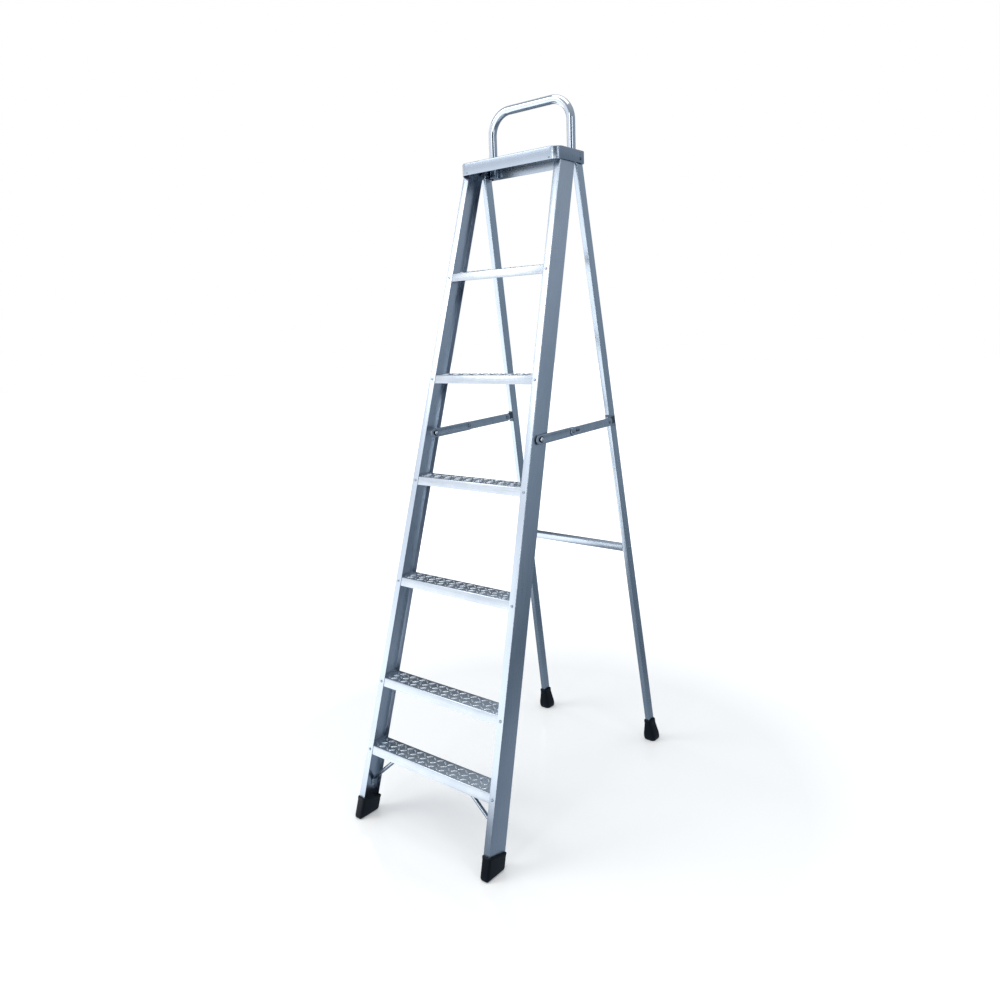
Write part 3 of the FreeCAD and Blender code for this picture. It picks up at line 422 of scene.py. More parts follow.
def makeChannel(name, width, fold):
    # folded sheet: flat top at z 0 with a front and a rear lip, front edge at y 0
    channel = addBlock(name, (-width / 2, 0, -fold["lip"]), (width / 2, fold["span"], 0))
    editOn(channel)
    pick(channel, "FACE", lambda f: abs(f.normal.x) > 0.9 or f.normal.z < -0.9)
    bpy.ops.mesh.delete(type="FACE")
    pick(channel, "VERT", lambda v: v.co.z < -fold["lip"] / 2 and v.co.y > fold["span"] / 2)
    bpy.ops.transform.translate(value=(0, 0, fold["lip"] - fold["rearLip"]))
    pick(channel, "VERT", lambda v: v.co.z < -fold["rearLip"] / 2 and v.co.y < fold["span"] / 2)
    bpy.ops.transform.translate(value=(0, -fold["lean"] * fold["lip"], 0))
    pick(channel, "VERT", lambda v: v.co.z < -fold["rearLip"] / 2 and v.co.y > fold["span"] / 2)
    bpy.ops.transform.translate(value=(0, -fold["lean"] * fold["rearLip"], 0))
    bevelEdges(channel, fold["bend"], 5, lambda e: lies(e, 0) and abs(centreOf(e).z) < near)
    editOff()
    runModifier(channel, "SOLIDIFY", thickness=fold["sheet"], offset=-1, use_even_offset=True)
    easeEdges(channel, fold["edge"])
    return channel


# treads: folded sheet with pressed bosses in three staggered rows
tread = {"count": 6, "lean": 0.2799, "lip": 0.025, "rearLip": 0.020, "span": 0.0664, "sheet": 0.0016,
         "bend": 0.003, "edge": 0.0003}
boss = {"length": 0.0205, "width": 0.0066, "rise": 0.0022, "pitch": 0.0205, "angle": 42,
        "rows": (0.0140, 0.0330, 0.0520), "endGap": 0.011, "sink": 0.00005, "wearAndShine": 0.6,
        "bluntFrom": 0.1, "blunt": (1, 0.72, 0.9)}


def makeBoss():
    # pressed tear drop: half of a flattened ball, blunt at one end
    bpy.ops.object.select_all(action="DESELECT")
    bpy.ops.mesh.primitive_uv_sphere_add(segments=12, ring_count=8, radius=0.5, rotation=(0, math.pi / 2, 0))
    bpy.ops.object.transform_apply(location=True, rotation=True, scale=True)
    master = bpy.context.object
    master.name = "bossMaster"
    editOn(master)
    bpy.ops.mesh.select_all(action="SELECT")
    bpy.ops.mesh.bisect(plane_co=(0, 0, 0), plane_no=(0, 0, 1), clear_inner=True)
    bpy.ops.mesh.select_all(action="SELECT")
    size = (boss["length"], boss["width"], boss["rise"] * 2)
    bpy.ops.transform.resize(value=size, center_override=(0, 0, 0))
    pick(master, "VERT", lambda v: v.co.x > boss["length"] * boss["bluntFrom"])
    bpy.ops.transform.resize(value=boss["blunt"], center_override=(0, 0, 0))
    editOff()
    return master


def markWearAndShine(piece, amount):
    marks = piece.data.color_attributes.new(name="wearAndShine", type="FLOAT_COLOR", domain="POINT")
    for mark in marks.data:
        mark.color = (amount, amount, amount, 1.0)


def addBosses(plate, master, width):
    # copies of the boss, alternately turned, joined to the plate
    markWearAndShine(plate, 0.0)
    copies = []
    columns = int((width - 2 * boss["endGap"] - boss["length"]) / boss["pitch"]) + 1
    start = -(columns - 1) * boss["pitch"] / 2
    for row, depth in enumerate(boss["rows"]):
        shift = boss["pitch"] / 2 if row % 2 else 0
        for column in range(columns - (row % 2)):
            copy = master.copy()
            copy.data = master.data.copy()
            bpy.context.scene.collection.objects.link(copy)
            twist = math.radians(boss["angle"] * (1 if (row + column) % 2 else -1))
            spot = Vector((start + shift + column * boss["pitch"], depth, -boss["sink"]))
            copy.matrix_world = Matrix.Translation(spot) @ Matrix.Rotation(twist, 4, "Z")
            copies.append(copy)
    joinAll(plate.name, [plate, *copies])


bossMaster = makeBoss()
# the bosses carry the mark of rubbed wear and painted highlight, the plate none
markWearAndShine(bossMaster, boss["wearAndShine"])
for number in range(1, tread["count"] + 1):
    low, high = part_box(f"step_{number}")
    width = high.x - low.x
    plate = makeChannel(f"tread{number}", width, tread)
    addBosses(plate, bossMaster, width)
    smoothPiece(plate)
    placeAt(plate, Matrix.Translation((0, high.y - tread["span"], high.z)))
    handOver(plate, treadAluminium, "tread", "root", f"step_{number}")
bpy.data.objects.remove(bossMaster)
print("treads made")

# rear brace: the same folding, laid back with the legs
brace = {"lean": 0.0, "lip": 0.020, "rearLip": 0.020, "span": 0.024, "sheet": 0.0015, "bend": 0.0021,
         "edge": 0.0003, "level": 0.740, "inset": 0.0006}
low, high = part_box("rear_brace")
bar = makeChannel("rearBrace", high.x - low.x, brace)
smoothPiece(bar)
lean = Matrix.Rotation(-math.atan(leg["slope"]), 4, "X")
faceY = leg["footFront"] + leg["slope"] * brace["level"]
onFace = Matrix.Translation((0, faceY, brace["level"]))
placeAt(bar, onFace @ lean @ Matrix.Translation((0, brace["inset"], 0)))
handOver(bar, braceAluminium, "rail", "rear_frame", "rear_brace")
print("brace made")

# top cap: inverted tray, wide round corners in front
cap = {"frontCorner": 0.0285, "rearCorner": 0.008, "bend": 0.003, "sheet": 0.0018, "edge": 0.00035}
low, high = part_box("top_cap")
tray = addBlock("topCap", low, high)
editOn(tray)
frontY, rearY, topZ = low.y, high.y, high.z
bevelEdges(tray, cap["frontCorner"], 12, lambda e: lies(e, 2) and abs(centreOf(e).y - frontY) < near)
bevelEdges(tray, cap["rearCorner"], 6, lambda e: lies(e, 2) and abs(centreOf(e).y - rearY) < near)
pick(tray, "FACE", lambda f: f.normal.z < -0.9)
bpy.ops.mesh.delete(type="ONLY_FACE")
bevelEdges(tray, cap["bend"], 5, lambda e: all(abs(v.co.z - topZ) < near for v in e.verts))
editOff()
runModifier(tray, "SOLIDIFY", thickness=cap["sheet"], offset=-1, use_even_offset=True)
easeEdges(tray, cap["edge"])
smoothPiece(tray, 30)
handOver(tray, capAluminium, "cap", "root", "top_cap")
print("cap made")

# hoop: one tube, two bends
hoop = {"radius": 0.0125, "half": 0.145, "bend": 0.066, "around": 28, "steps": 14}
low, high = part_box("handle_hoop")
hoopY = (low.y + high.y) / 2
shoulder = high.z - hoop["radius"] - hoop["bend"]
straight = 2 * (hoop["half"] - hoop["bend"])
tube = addDisc("handleHoop", hoop["radius"], hoop["around"], (-hoop["half"], hoopY, low.z))
editOn(tube)
bpy.ops.mesh.select_all(action="SELECT")
rise = {"value": (0, 0, shoulder - low.z)}
bpy.ops.mesh.extrude_region_move(TRANSFORM_OT_translate=rise)
quarter = {"steps": hoop["steps"], "angle": -math.pi / 2, "axis": (0, 1, 0)}
bpy.ops.mesh.spin(center=(hoop["bend"] - hoop["half"], hoopY, shoulder), **quarter)
bpy.ops.mesh.extrude_region_move(TRANSFORM_OT_translate={"value": (straight, 0, 0)})
bpy.ops.mesh.spin(center=(hoop["half"] - hoop["bend"], hoopY, shoulder), **quarter)
bpy.ops.mesh.extrude_region_move(TRANSFORM_OT_translate={"value": (0, 0, low.z - shoulder)})
bpy.ops.mesh.select_all(action="SELECT")
bpy.ops.mesh.remove_doubles(threshold=near)
faceOutward()
editOff()
smoothPiece(tube, 50)
handOver(tube, tubeAluminium, "tube", "root", "handle_hoop")
print("hoop made")

# front boots: rubber sleeves on the stile feet
frontBoot = {"wall": 0.0046, "height": 0.067, "below": 0.040, "corner": 0.0085, "lip": 0.0040,
             "socket": 0.004, "toe": 0.0085, "rim": 0.0065, "proud": 0.0007, "groove": 0.0012,
             "edge": 0.0006}
for sideName, side in sides.items():
    inner = -side * stile["flange"]
    wall = frontBoot["wall"]
    sleeve = addBlock("frontBoot" + sideName.capitalize(),
                      (min(0, inner) - wall, -wall, -frontBoot["below"]),
                      (max(0, inner) + wall, stile["depth"] + wall, frontBoot["height"]))
    editOn(sleeve)
    bevelEdges(sleeve, frontBoot["corner"], 4, lambda e: lies(e, 2))
    rimLow = frontBoot["height"] - frontBoot["rim"]
    for cutLevel in (rimLow - frontBoot["groove"], rimLow):
        bpy.ops.mesh.select_all(action="SELECT")
        bpy.ops.mesh.bisect(plane_co=(0, 0, cutLevel), plane_no=(0, 0, 1))
    # everything under the rim is drawn in a little, so that the rim stands proud
    pick(sleeve, "VERT", lambda v: v.co.z < rimLow - frontBoot["groove"] / 2)
    middle = (inner / 2, stile["depth"] / 2, 0)
    spans = (stile["flange"] + 2 * wall, stile["depth"] + 2 * wall)
    drawIn = [1 - 2 * frontBoot["proud"] / span for span in spans]
    bpy.ops.transform.resize(value=(drawIn[0], drawIn[1], 1), center_override=middle)
    pick(sleeve, "FACE", lambda f: f.normal.z > 0.9)
    bpy.ops.mesh.inset(thickness=frontBoot["lip"])
    bpy.ops.mesh.extrude_region_move(TRANSFORM_OT_translate={"value": (0, 0, -frontBoot["socket"])})
    editOff()
    placeAt(sleeve, railFrame(side, stile))
    editOn(sleeve)
    bpy.ops.mesh.select_all(action="SELECT")
    bpy.ops.mesh.bisect(plane_co=(0, 0, 0), plane_no=(0, 0, 1), clear_inner=True, use_fill=True)
    bevelEdges(sleeve, frontBoot["toe"], 3, lambda e: all(abs(v.co.z) < near for v in e.verts))
    editOff()
    easeEdges(sleeve, frontBoot["edge"])
    smoothPiece(sleeve, 40)
    handOver(sleeve, bootRubber, "rubber", "root", "front_boot_" + sideName)
print("front boots made")

# rear boots: flared tips, drawn in to a collar
rearBoot = {
    # height in metres, then width and depth in millimetres
    "rings": ((0.0, 38.5, 43.5), (0.0015, 41.5, 46.5), (0.005, 43.8, 48.3), (0.014, 45, 49.6),
              (0.026, 42.6, 48.6), (0.040, 36.4, 46), (0.054, 31.2, 43.4), (0.066, 27.8, 41),
              (0.069, 28.6, 42), (0.0765, 28.4, 41.6), (0.078, 27.2, 40.4)),
    "corner": 11, "lip": 0.003, "socket": 0.004}
for sideName, side in sides.items():
    matrix = railFrame(side, leg)
    foot = matrix @ Vector((-side * leg["width"] / 2, leg["depth"] / 2, 0))
    axis = matrix.col[2].xyz / matrix.col[2].z
    foot -= axis * foot.z
    rings = rearBoot["rings"]
    bpy.ops.object.select_all(action="DESELECT")
    bpy.ops.mesh.primitive_plane_add(size=1, location=(foot.x, foot.y, 0))
    tip = bpy.context.object
    tip.name = "rearBoot" + sideName.capitalize()
    tip.scale = (rings[0][1] * mm, rings[0][2] * mm, 1)
    bpy.ops.object.transform_apply(location=True, rotation=True, scale=True)
    editOn(tip)
    bpy.ops.mesh.select_all(action="SELECT")
    bpy.ops.mesh.bevel(offset=rearBoot["corner"] * mm, segments=5, affect="VERTICES")
    for (lastZ, lastX, lastY), (z, sizeX, sizeY) in zip(rings, rings[1:]):
        bpy.ops.mesh.select_mode(type="FACE")
        rise = axis * (z - lastZ)
        bpy.ops.mesh.extrude_region_move(TRANSFORM_OT_translate={"value": rise})
        bpy.ops.transform.resize(value=(sizeX / lastX, sizeY / lastY, 1),
                                 center_override=foot + axis * z)
    bpy.ops.mesh.inset(thickness=rearBoot["lip"])
    bpy.ops.mesh.extrude_region_move(TRANSFORM_OT_translate={"value": -axis * rearBoot["socket"]})
    bpy.ops.mesh.select_all(action="SELECT")
    bpy.ops.mesh.remove_doubles(threshold=near)
    faceOutward()
    editOff()
    smoothPiece(tip, 40)
    handOver(tip, bootRubber, "rubber", "rear_frame", "rear_boot_" + sideName)
print("rear boots made")

# spreader links: pressed straps with round ends
link = {"frontLength": 0.155, "frontWidth": 0.027, "rearWidth": 0.025, "frontTip": 0.023, "end": 0.0125,
        "sheet": 0.002, "edge": 0.0004, "grooveInset": 0.0056, "grooveDepth": 0.0011, "slope": 0.0034,
        "rim": 0.0016, "rimDepth": 0.0003, "endShare": 0.48}
latch = {"behind": 0.012, "length": 0.017, "height": 0.0052, "rise": 0.0009, "tabHeight": 0.0034,
         "tabRise": 0.0022, "edge": 0.0005, "cornerShare": 0.3, "paintedShadeSink": 0.35, "tabSwell": 0.15}


def makeLink(name, planeX, begin, end, width, before, after, grooved):
    # lies in a YZ plane; a grooved one is pressed lengthwise
    way = (end - begin).normalized()
    length = (end - begin).length
    strap = addBlock(name, (-before, -width / 2, 0), (length + after, width / 2, link["sheet"]))
    editOn(strap)
    bevelEdges(strap, width * link["endShare"], 8, lambda e: lies(e, 2))
    for up in (1, -1):
        pick(strap, "FACE", lambda f: f.normal.z * up > 0.9)
        bpy.ops.mesh.inset(thickness=link["grooveInset"] if grooved else link["rim"])
        bpy.ops.mesh.inset(thickness=link["slope"])
        sink = -link["grooveDepth"] if grooved else -up * link["rimDepth"]
        bpy.ops.transform.translate(value=(0, 0, sink))
    editOff()
    easeEdges(strap, link["edge"])
    smoothPiece(strap, 30)
    across = Vector((1, 0, 0))
    matrix = Matrix((way, across.cross(way), across)).transposed().to_4x4()
    matrix.translation = Vector((planeX, begin.y, begin.z))
    placeAt(strap, matrix)
    return strap


for sideName, side in sides.items():
    stud = Vector(joints[f"spreader_front_{sideName}_fold"]["pos_m"])
    ear = Vector(joints[f"spreader_rear_{sideName}_fold"]["pos_m"])
    knee = stud + (ear - stud).normalized() * link["frontLength"]
    for part, begin, end, width, before, after in (
        ("front", stud, knee, link["frontWidth"], link["frontTip"], link["end"]),
        ("rear", knee, ear, link["rearWidth"], link["end"], link["end"]),
    ):
        node = f"spreader_{part}_{sideName}"
        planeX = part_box(node)[0].x
        strap = makeLink(f"spreader{part.capitalize()}{sideName.capitalize()}", planeX, begin, end, width,
                         before, after, part == "front")
        handOver(strap, strapSteel, "strap", node, node)
    # latch on the rear link's outer face: a dark sunk plate that stands in for the shade in the latch pocket
    # (painted shade), with a bright tab over it
    along = (ear - knee).normalized()
    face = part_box(f"spreader_rear_{sideName}")[1 if side > 0 else 0].x
    for part, lift, height, rise, finish, slotName in (
        # the dark plate's darkness is painted shade of the pocket
        ("Window", -latch["height"] / 2, latch["height"], latch["rise"], bracketSteel, "bracket"),
        ("Tab", latch["height"] / 2, latch["tabHeight"], latch["tabRise"], rivetMetal, "rivet"),
    ):
        plate = addBlock(f"latch{part}{sideName.capitalize()}", (latch["behind"], lift, 0),
                         (latch["behind"] + latch["length"], lift + height, rise))
        editOn(plate)
        bevelEdges(plate, height * latch["cornerShare"], 3, lambda e: lies(e, 2))
        pick(plate, "FACE", lambda f: f.normal.z > 0.9)
        bpy.ops.mesh.inset(thickness=latch["edge"])
        swell = -latch["paintedShadeSink"] if part == "Window" else latch["tabSwell"]
        bpy.ops.transform.translate(value=(0, 0, rise * swell))
        editOff()
        easeEdges(plate, latch["edge"] / 2)
        smoothPiece(plate, 40)
        out = Vector((side, 0, 0))
        up = Vector((0, -along.z, along.y))
        base = Matrix((along, up, out)).transposed().to_4x4()
        base.translation = Vector((face, knee.y, knee.z))
        placeAt(plate, base)
        if side < 0:
            editOn(plate)
            faceOutward()
            editOff()
        handOver(plate, finish, slotName, f"spreader_rear_{sideName}")
print("spreaders made")

# struts under the lowest tread: round tube, pressed flat at both ends
strut = {"radius": 0.0058, "wide": 0.0072, "flat": 0.0024, "ease": 0.016, "tabEnd": 0.100, "bend": 0.121,
         "lowBend": 0.098, "tabLow": 0.078, "gap": 0.0002, "around": 20, "firstPress": 0.55}
for sideName, side in sides.items():
    low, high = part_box("strut_" + sideName)
    y = (low.y + high.y) / 2
    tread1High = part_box("step_1")[1].z
    topZ = tread1High - tread["sheet"] - strut["gap"] - strut["flat"] / 2
    lowX = stile["footHalf"] - stile["splay"] * strut["lowBend"] - stile["wall"]
    lowX -= strut["gap"] + strut["flat"] / 2
    start = Vector((side * strut["bend"], y, topZ))
    foot = Vector((side * lowX, y, strut["lowBend"]))
    way = (foot - start).normalized()
    length = (foot - start).length
    bpy.ops.object.select_all(action="DESELECT")
    bpy.ops.mesh.primitive_cylinder_add(vertices=strut["around"], radius=strut["radius"],
                                        depth=length - 2 * strut["ease"], location=(0, 0, length / 2))
    bpy.ops.object.transform_apply(location=True, rotation=True, scale=True)
    tube = bpy.context.object
    tube.name = "strutTube" + sideName.capitalize()
    across = Vector((0, 1, 0)).cross(way)
    matrix = Matrix((across, (0, 1, 0), way)).transposed().to_4x4()
    matrix.translation = start
    toLocal = matrix.to_3x3().inverted()
    topTab = toLocal @ Vector((-side * (strut["bend"] - strut["tabEnd"]), 0, 0))
    drop = strut["lowBend"] - strut["tabLow"]
    lowTab = toLocal @ Vector((side * stile["splay"] * drop, 0, -drop))
    squeeze = (strut["flat"] / strut["radius"] / 2, strut["wide"] / strut["radius"], 1)
    press = strut["firstPress"]
    firstScale = [1 + (share - 1) * press for share in squeeze]
    lastScale = [share / first for share, first in zip(squeeze, firstScale)]
    editOn(tube)
    for end, tab in ((-1, topTab), (1, lowTab)):
        pick(tube, "FACE", lambda f: f.normal.z * end > 0.9)
        for portion, scale in ((press, firstScale), (1 - press, lastScale)):
            bpy.ops.mesh.extrude_region_move(
                TRANSFORM_OT_translate={"value": (0, 0, end * strut["ease"] * portion)})
            bpy.ops.transform.resize(value=scale, center_override=(0, 0, 0))
        bpy.ops.mesh.extrude_region_move(TRANSFORM_OT_translate={"value": tab})
    editOff()
    smoothPiece(tube, 45)
    placeAt(tube, matrix)
    handOver(tube, strapSteel, "strap", "root", "strut_" + sideName)
print("struts made")

# domed fasteners, turned from a profile of (height, radius) pairs
rivet = {"shank": 0.0024, "shankLength": 0.0046, "head": 0.0044, "rim": 0.0006, "dome": 0.0019,
         "shift": 0.0006, "around": 16, "domeSteps": 4}
domedStud = {"level": 1.150, "clearance": 0.0005, "collar": 0.0057, "shank": 0.003,
             "head": 0.0066, "rim": 0.0006, "dome": 0.0034,
             "washer": 0.0090, "washerThick": 0.0006, "washerEdge": 0.0001, "washerFace": 0.94,
             "play": 0.00015, "around": 24, "domeSteps": 6}
flatShare = 0.35                           # part of the last step that stays flat on top of a dome


def domeProfile(start, radius, rim, height, steps):
    # an upright rim, then a quarter of an ellipse up to a small flat
    profile = [(start, radius), (start + rim, radius)]
    for step in range(1, steps + 1):
        angle = step / (steps + flatShare) * math.pi / 2
        profile.append((start + rim + (height - rim) * math.sin(angle), radius * math.cos(angle)))
    return profile


def turn(name, spot, way, profile, around):
    # revolve a profile about Z, then stand it at a spot, pointing along a way
    piece = addDisc(name, profile[0][1], around, (0, 0, profile[0][0]))
    editOn(piece)
    bpy.ops.mesh.select_all(action="SELECT")
    bpy.ops.mesh.select_mode(type="FACE")
    for (lastHeight, lastRadius), (height, radius) in zip(profile, profile[1:]):
        bpy.ops.mesh.extrude_region_move(TRANSFORM_OT_translate={"value": (0, 0, height - lastHeight)})
        bpy.ops.transform.resize(value=(radius / lastRadius, radius / lastRadius, 1),
                                 center_override=(0, 0, height))
    faceOutward()
    editOff()
    matrix = way.to_track_quat("Z", "Y").to_matrix().to_4x4()
    matrix.translation = spot
    placeAt(piece, matrix)
    return piece


headProfile = [(-rivet["shankLength"], rivet["shank"]), (0, rivet["shank"])]
headProfile += domeProfile(near, rivet["head"], rivet["rim"], rivet["dome"], rivet["domeSteps"])
for sideName, side in sides.items():
    matrix = railFrame(side, stile)
    depthWay = matrix.col[1].xyz
    heads = []
    for number in range(1, tread["count"] + 1):
        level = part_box(f"step_{number}")[1].z
        for flangeWidth, depth, lip, way in ((stile["flange"], 0, tread["lip"], -1),
                                             (stile["rearFlange"], stile["depth"], tread["rearLip"], 1)):
            flat = Vector((-side * (flangeWidth / 2 + rivet["shift"]), depth, 0))
            flat.z = (level - lip / 2 - (matrix @ flat).z) / matrix[2][2]
            heads.append(turn("stepRivet", matrix @ flat, depthWay * way, headProfile, rivet["around"]))
    heads = joinAll("stepRivets" + sideName.capitalize(), heads)
    smoothPiece(heads, 40)
    handOver(heads, rivetMetal, "rivet", "root", "step_rivets_" + sideName)

    # spreader stud: collar, shank and dome, with a dark washer under the dome
    spot = Vector(joints[f"spreader_front_{sideName}_fold"]["pos_m"])
    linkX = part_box("spreader_front_" + sideName)[0].x
    web = stile["footHalf"] - stile["splay"] * domedStud["level"]
    root = web + domedStud["clearance"] if side > 0 else stile["wall"] + domedStud["clearance"] - web
    spot.x = root
    inner = linkX - root - domedStud["play"]
    outer = linkX + link["sheet"] - root + domedStud["play"]
    headStart = outer + domedStud["washerThick"]
    profile = [(0, domedStud["collar"]), (inner, domedStud["collar"]), (inner + near, domedStud["shank"]),
               (headStart, domedStud["shank"])]
    profile += domeProfile(headStart + near, domedStud["head"], domedStud["rim"], domedStud["dome"],
                           domedStud["domeSteps"])
    pin = turn("spreaderStud" + sideName.capitalize(), spot, Vector((1, 0, 0)), profile, domedStud["around"])
    smoothPiece(pin, 40)
    handOver(pin, studMetal, "pin", "root", "spreader_stud_" + sideName)
    rim, edge = domedStud["washer"], domedStud["washerEdge"]
    face = rim * domedStud["washerFace"]
    profile = [(outer, face), (outer + edge, rim), (headStart - edge, rim), (headStart, face)]
    washer = turn("studWasher" + sideName.capitalize(), spot, Vector((1, 0, 0)), profile, domedStud["around"])
    smoothPiece(washer, 40)
    handOver(washer, washerSteel, "bracket", "root")
print("rivets and studs made")

# finishes of the carried over nodes
nodeFinish = {
    "spreader_bracket_left": bracketSteel, "spreader_bracket_right": bracketSteel,
    "hinge_pin_left": bracketSteel, "hinge_pin_right": bracketSteel}
for name, node in frame["nodes"].items():
    if node.hide_render:
        continue
    finish = nodeFinish.get(name, rivetMetal)
    for spot in node.material_slots:
        spot.material = finish
print("carried over nodes finished")

room = {"floorSize": 60, "floorDrop": 0.0003, "flagSide": (-0.59, 0.77, 0.10), "doorSide": (0.60, -0.80, 0.0)}
lightSide = (-0.66, -0.75, 0.0)           # where the front soft box stands, seen from the ladder
lightPower = (1.38, 1.39, 1.44, 1.0)      # how bright that side of the room is in reflections
lightLow = (1.95, 1.97, 2.02, 1.0)        # and how bright it is near the floor, where the box is closest

# floor: pale and glossy to the eye, over a painted glow that is weak close to the ladder and full white
# further out; the metal sees a painted glowing floor, dark blue grey close in and paler further out (painted
# shade and painted light)
bpy.ops.object.select_all(action="DESELECT")
bpy.ops.mesh.primitive_plane_add(size=room["floorSize"], location=(0, 0, -room["floorDrop"]))
floor = bpy.context.object
floor.name = "studioFloor"
floorPaint, tree = newMaterial("paleGlossFloor")
seen = addNode(tree, "ShaderNodeLightPath")
gloss = addNode(tree, "ShaderNodeBsdfPrincipled",
                {"Base Color": linear("#e9e8e5"), "Roughness": 0.15, "IOR": 1.6})
place = addNode(tree, "ShaderNodeTexCoord").outputs["Object"]
reach = addNode(tree, "ShaderNodeVectorMath", {"operation": "LENGTH"}, {0: place})
# painted glow: the floor glows by itself, weak close to the ladder and full white further out
paintedGlowFade = addNode(tree, "ShaderNodeMapRange", {"From Min": 0.9, "From Max": 3.0, "To Min": 0.19, "To Max": 1.0},
               {"Value": reach.outputs["Value"]})
glow = addNode(tree, "ShaderNodeEmission", {"Color": linear("#ffffff")}, {"Strength": paintedGlowFade.outputs[0]})
shown = addNode(tree, "ShaderNodeAddShader", None, {0: gloss.outputs[0], 1: glow.outputs[0]})
# in reflections the floor glows with painted colour: darker close in (painted shade), paler further out
# (painted light)
outward = addNode(tree, "ShaderNodeMapRange", {"From Min": 0.6, "From Max": 7.0},
                  {"Value": reach.outputs["Value"]})
paintedFloorShading = addNode(tree, "ShaderNodeMix", {"data_type": "RGBA", 6: linear("#6e7b89"), 7: linear("#9caab8")},
                {0: outward.outputs[0]})
# right under the ladder the floor is paler, lit by what the treads throw down
inward = addNode(tree, "ShaderNodeMapRange", {"From Min": 0.45, "From Max": 1.1},
                 {"Value": reach.outputs["Value"]})
under = addNode(tree, "ShaderNodeMix", {"data_type": "RGBA", 6: linear("#97a4b2")},
                {0: inward.outputs[0], 7: paintedFloorShading.outputs[2]})
# the floor off the left front lies in the light of the soft box
toLight = addNode(tree, "ShaderNodeVectorMath", {"operation": "DOT_PRODUCT", 1: lightSide}, {0: place})
litPart = addNode(tree, "ShaderNodeMapRange", {"From Min": 0.50, "From Max": 0.76},
                  {"Value": toLight.outputs["Value"]})
litFloor = addNode(tree, "ShaderNodeMix", {"data_type": "RGBA", 7: lightLow}, {0: litPart.outputs[0],
                   6: under.outputs[2]})
unseen = addNode(tree, "ShaderNodeEmission", {"Strength": 1.0}, {"Color": litFloor.outputs[2]})
floorMix = addNode(tree, "ShaderNodeMixShader", None, {0: seen.outputs["Is Camera Ray"],
                   1: unseen.outputs[0], 2: shown.outputs[0]})
addNode(tree, "ShaderNodeOutputMaterial", None, {"Surface": floorMix.outputs[0]})
floor.data.materials.append(floorPaint)
floor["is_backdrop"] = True

# studio: white to the eye; in reflections a pale grey dome, a little darker at the horizon
studio = bpy.data.worlds.new("studio")
bpy.context.scene.world = studio
studio.use_nodes = True
tree = studio.node_tree
tree.nodes.clear()
way = addNode(tree, "ShaderNodeTexCoord").outputs["Generated"]
height = addNode(tree, "ShaderNodeSeparateXYZ", None, {"Vector": way})
level = addNode(tree, "ShaderNodeMapRange", {"From Min": -1.0, "From Max": 1.0},
                {"Value": height.outputs["Z"]})
ramp = addNode(tree, "ShaderNodeValToRGB", None, {0: level.outputs[0]})
stops = ((0.0, "#4b5661"), (0.49, "#95a3b1"), (0.60, "#b0bbc9"), (0.78, "#b9c2cc"), (1.0, "#e2e6eb"))
while len(ramp.color_ramp.elements) < len(stops):
    ramp.color_ramp.elements.new(0.5)
for element, (position, colour) in zip(ramp.color_ramp.elements, stops):
    element.position = position
    element.color = linear(colour)
seen = addNode(tree, "ShaderNodeLightPath")
toLight = addNode(tree, "ShaderNodeVectorMath", {"operation": "DOT_PRODUCT", 1: lightSide}, {0: way})
litPart = addNode(tree, "ShaderNodeMapRange", {"From Min": 0.62, "From Max": 0.86},
                  {"Value": toLight.outputs["Value"]})
climb = addNode(tree, "ShaderNodeMapRange", {"From Min": -0.06, "From Max": 0.08},
                {"Value": height.outputs["Z"]})
power = addNode(tree, "ShaderNodeMix", {"data_type": "RGBA", 6: lightLow, 7: lightPower},
                {0: climb.outputs[0]})
litDome = addNode(tree, "ShaderNodeMix", {"data_type": "RGBA"},
                  {0: litPart.outputs[0], 6: ramp.outputs[0], 7: power.outputs[2]})
# a dark flag stands behind, low: it draws the outline of round parts
toFlag = addNode(tree, "ShaderNodeVectorMath", {"operation": "DOT_PRODUCT", 1: room["flagSide"]}, {0: way})
flag = addNode(tree, "ShaderNodeMapRange",
               {"From Min": 0.84, "From Max": 0.94, "To Min": 1.0, "To Max": 0.20},
               {"Value": toFlag.outputs["Value"]})
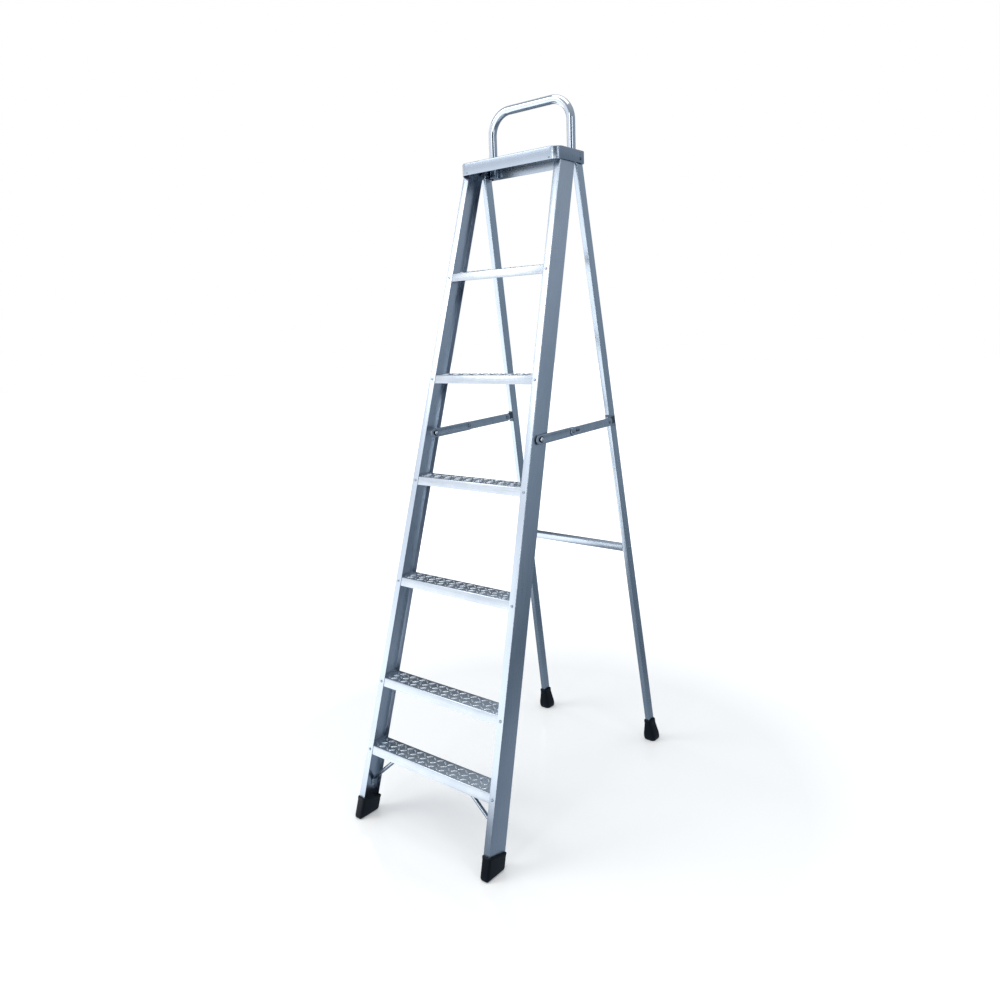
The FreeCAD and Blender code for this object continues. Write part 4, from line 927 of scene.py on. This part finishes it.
# and the dark doorway in front of it: a fine dark line down the middle of round parts
toDoor = addNode(tree, "ShaderNodeVectorMath", {"operation": "DOT_PRODUCT", 1: room["doorSide"]}, {0: way})
door = addNode(tree, "ShaderNodeMapRange",
               {"From Min": 0.88, "From Max": 0.96, "To Min": 1.0, "To Max": 0.34},
               {"Value": toDoor.outputs["Value"]})
shade = addNode(tree, "ShaderNodeMath", {"operation": "MULTIPLY"}, {0: flag.outputs[0], 1: door.outputs[0]})
mirrored = addNode(tree, "ShaderNodeBackground", None,
                   {"Color": litDome.outputs[2], "Strength": shade.outputs[0]})
direct = addNode(tree, "ShaderNodeBackground", {"Color": linear("#ffffff"), "Strength": 1.0})
worldMix = addNode(tree, "ShaderNodeMixShader", None, {0: seen.outputs["Is Camera Ray"],
                   1: mirrored.outputs[0], 2: direct.outputs[0]})
addNode(tree, "ShaderNodeOutputWorld", None, {"Surface": worldMix.outputs[0]})

# soft boxes: a wide one off the left front, strips in front and at the right, one overhead, one behind
lamps = {
    "frontSoftBox": {"spot": (-3.0, -3.2, 4.7), "aim": (0, 0, 1.3), "size": (2.4, 2.4), "watts": 75},
    "frontStrip": {"spot": (0.5, -5.2, 2.4), "aim": (0, 0, 1.4), "size": (0.7, 3.6), "watts": 34},
    "rightStrip": {"spot": (5.0, -1.9, 2.2), "aim": (0, 0, 1.4), "size": (0.7, 3.6), "watts": 30},
    "topSoftBox": {"spot": (0.0, 0.0, 5.0), "aim": (0, 0, 0), "size": (3.0, 3.0), "watts": 60},
    "rearSoftBox": {"spot": (-4.4, 0.6, 2.4), "aim": (0, 0, 1.2), "size": (1.0, 3.0), "watts": 20},
}
for name, lamp in lamps.items():
    bpy.ops.object.light_add(type="AREA", location=lamp["spot"])
    light = bpy.context.object
    light.name = name
    light.data.shape = "RECTANGLE"
    light.data.size, light.data.size_y = lamp["size"]
    light.data.energy = lamp["watts"]
    light.visible_camera = False
    light.rotation_euler = (Vector(lamp["aim"]) - Vector(lamp["spot"])).to_track_quat("-Z", "Y").to_euler()
bpy.context.scene.view_settings.view_transform = "Standard"
print("studio made")

low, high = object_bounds()
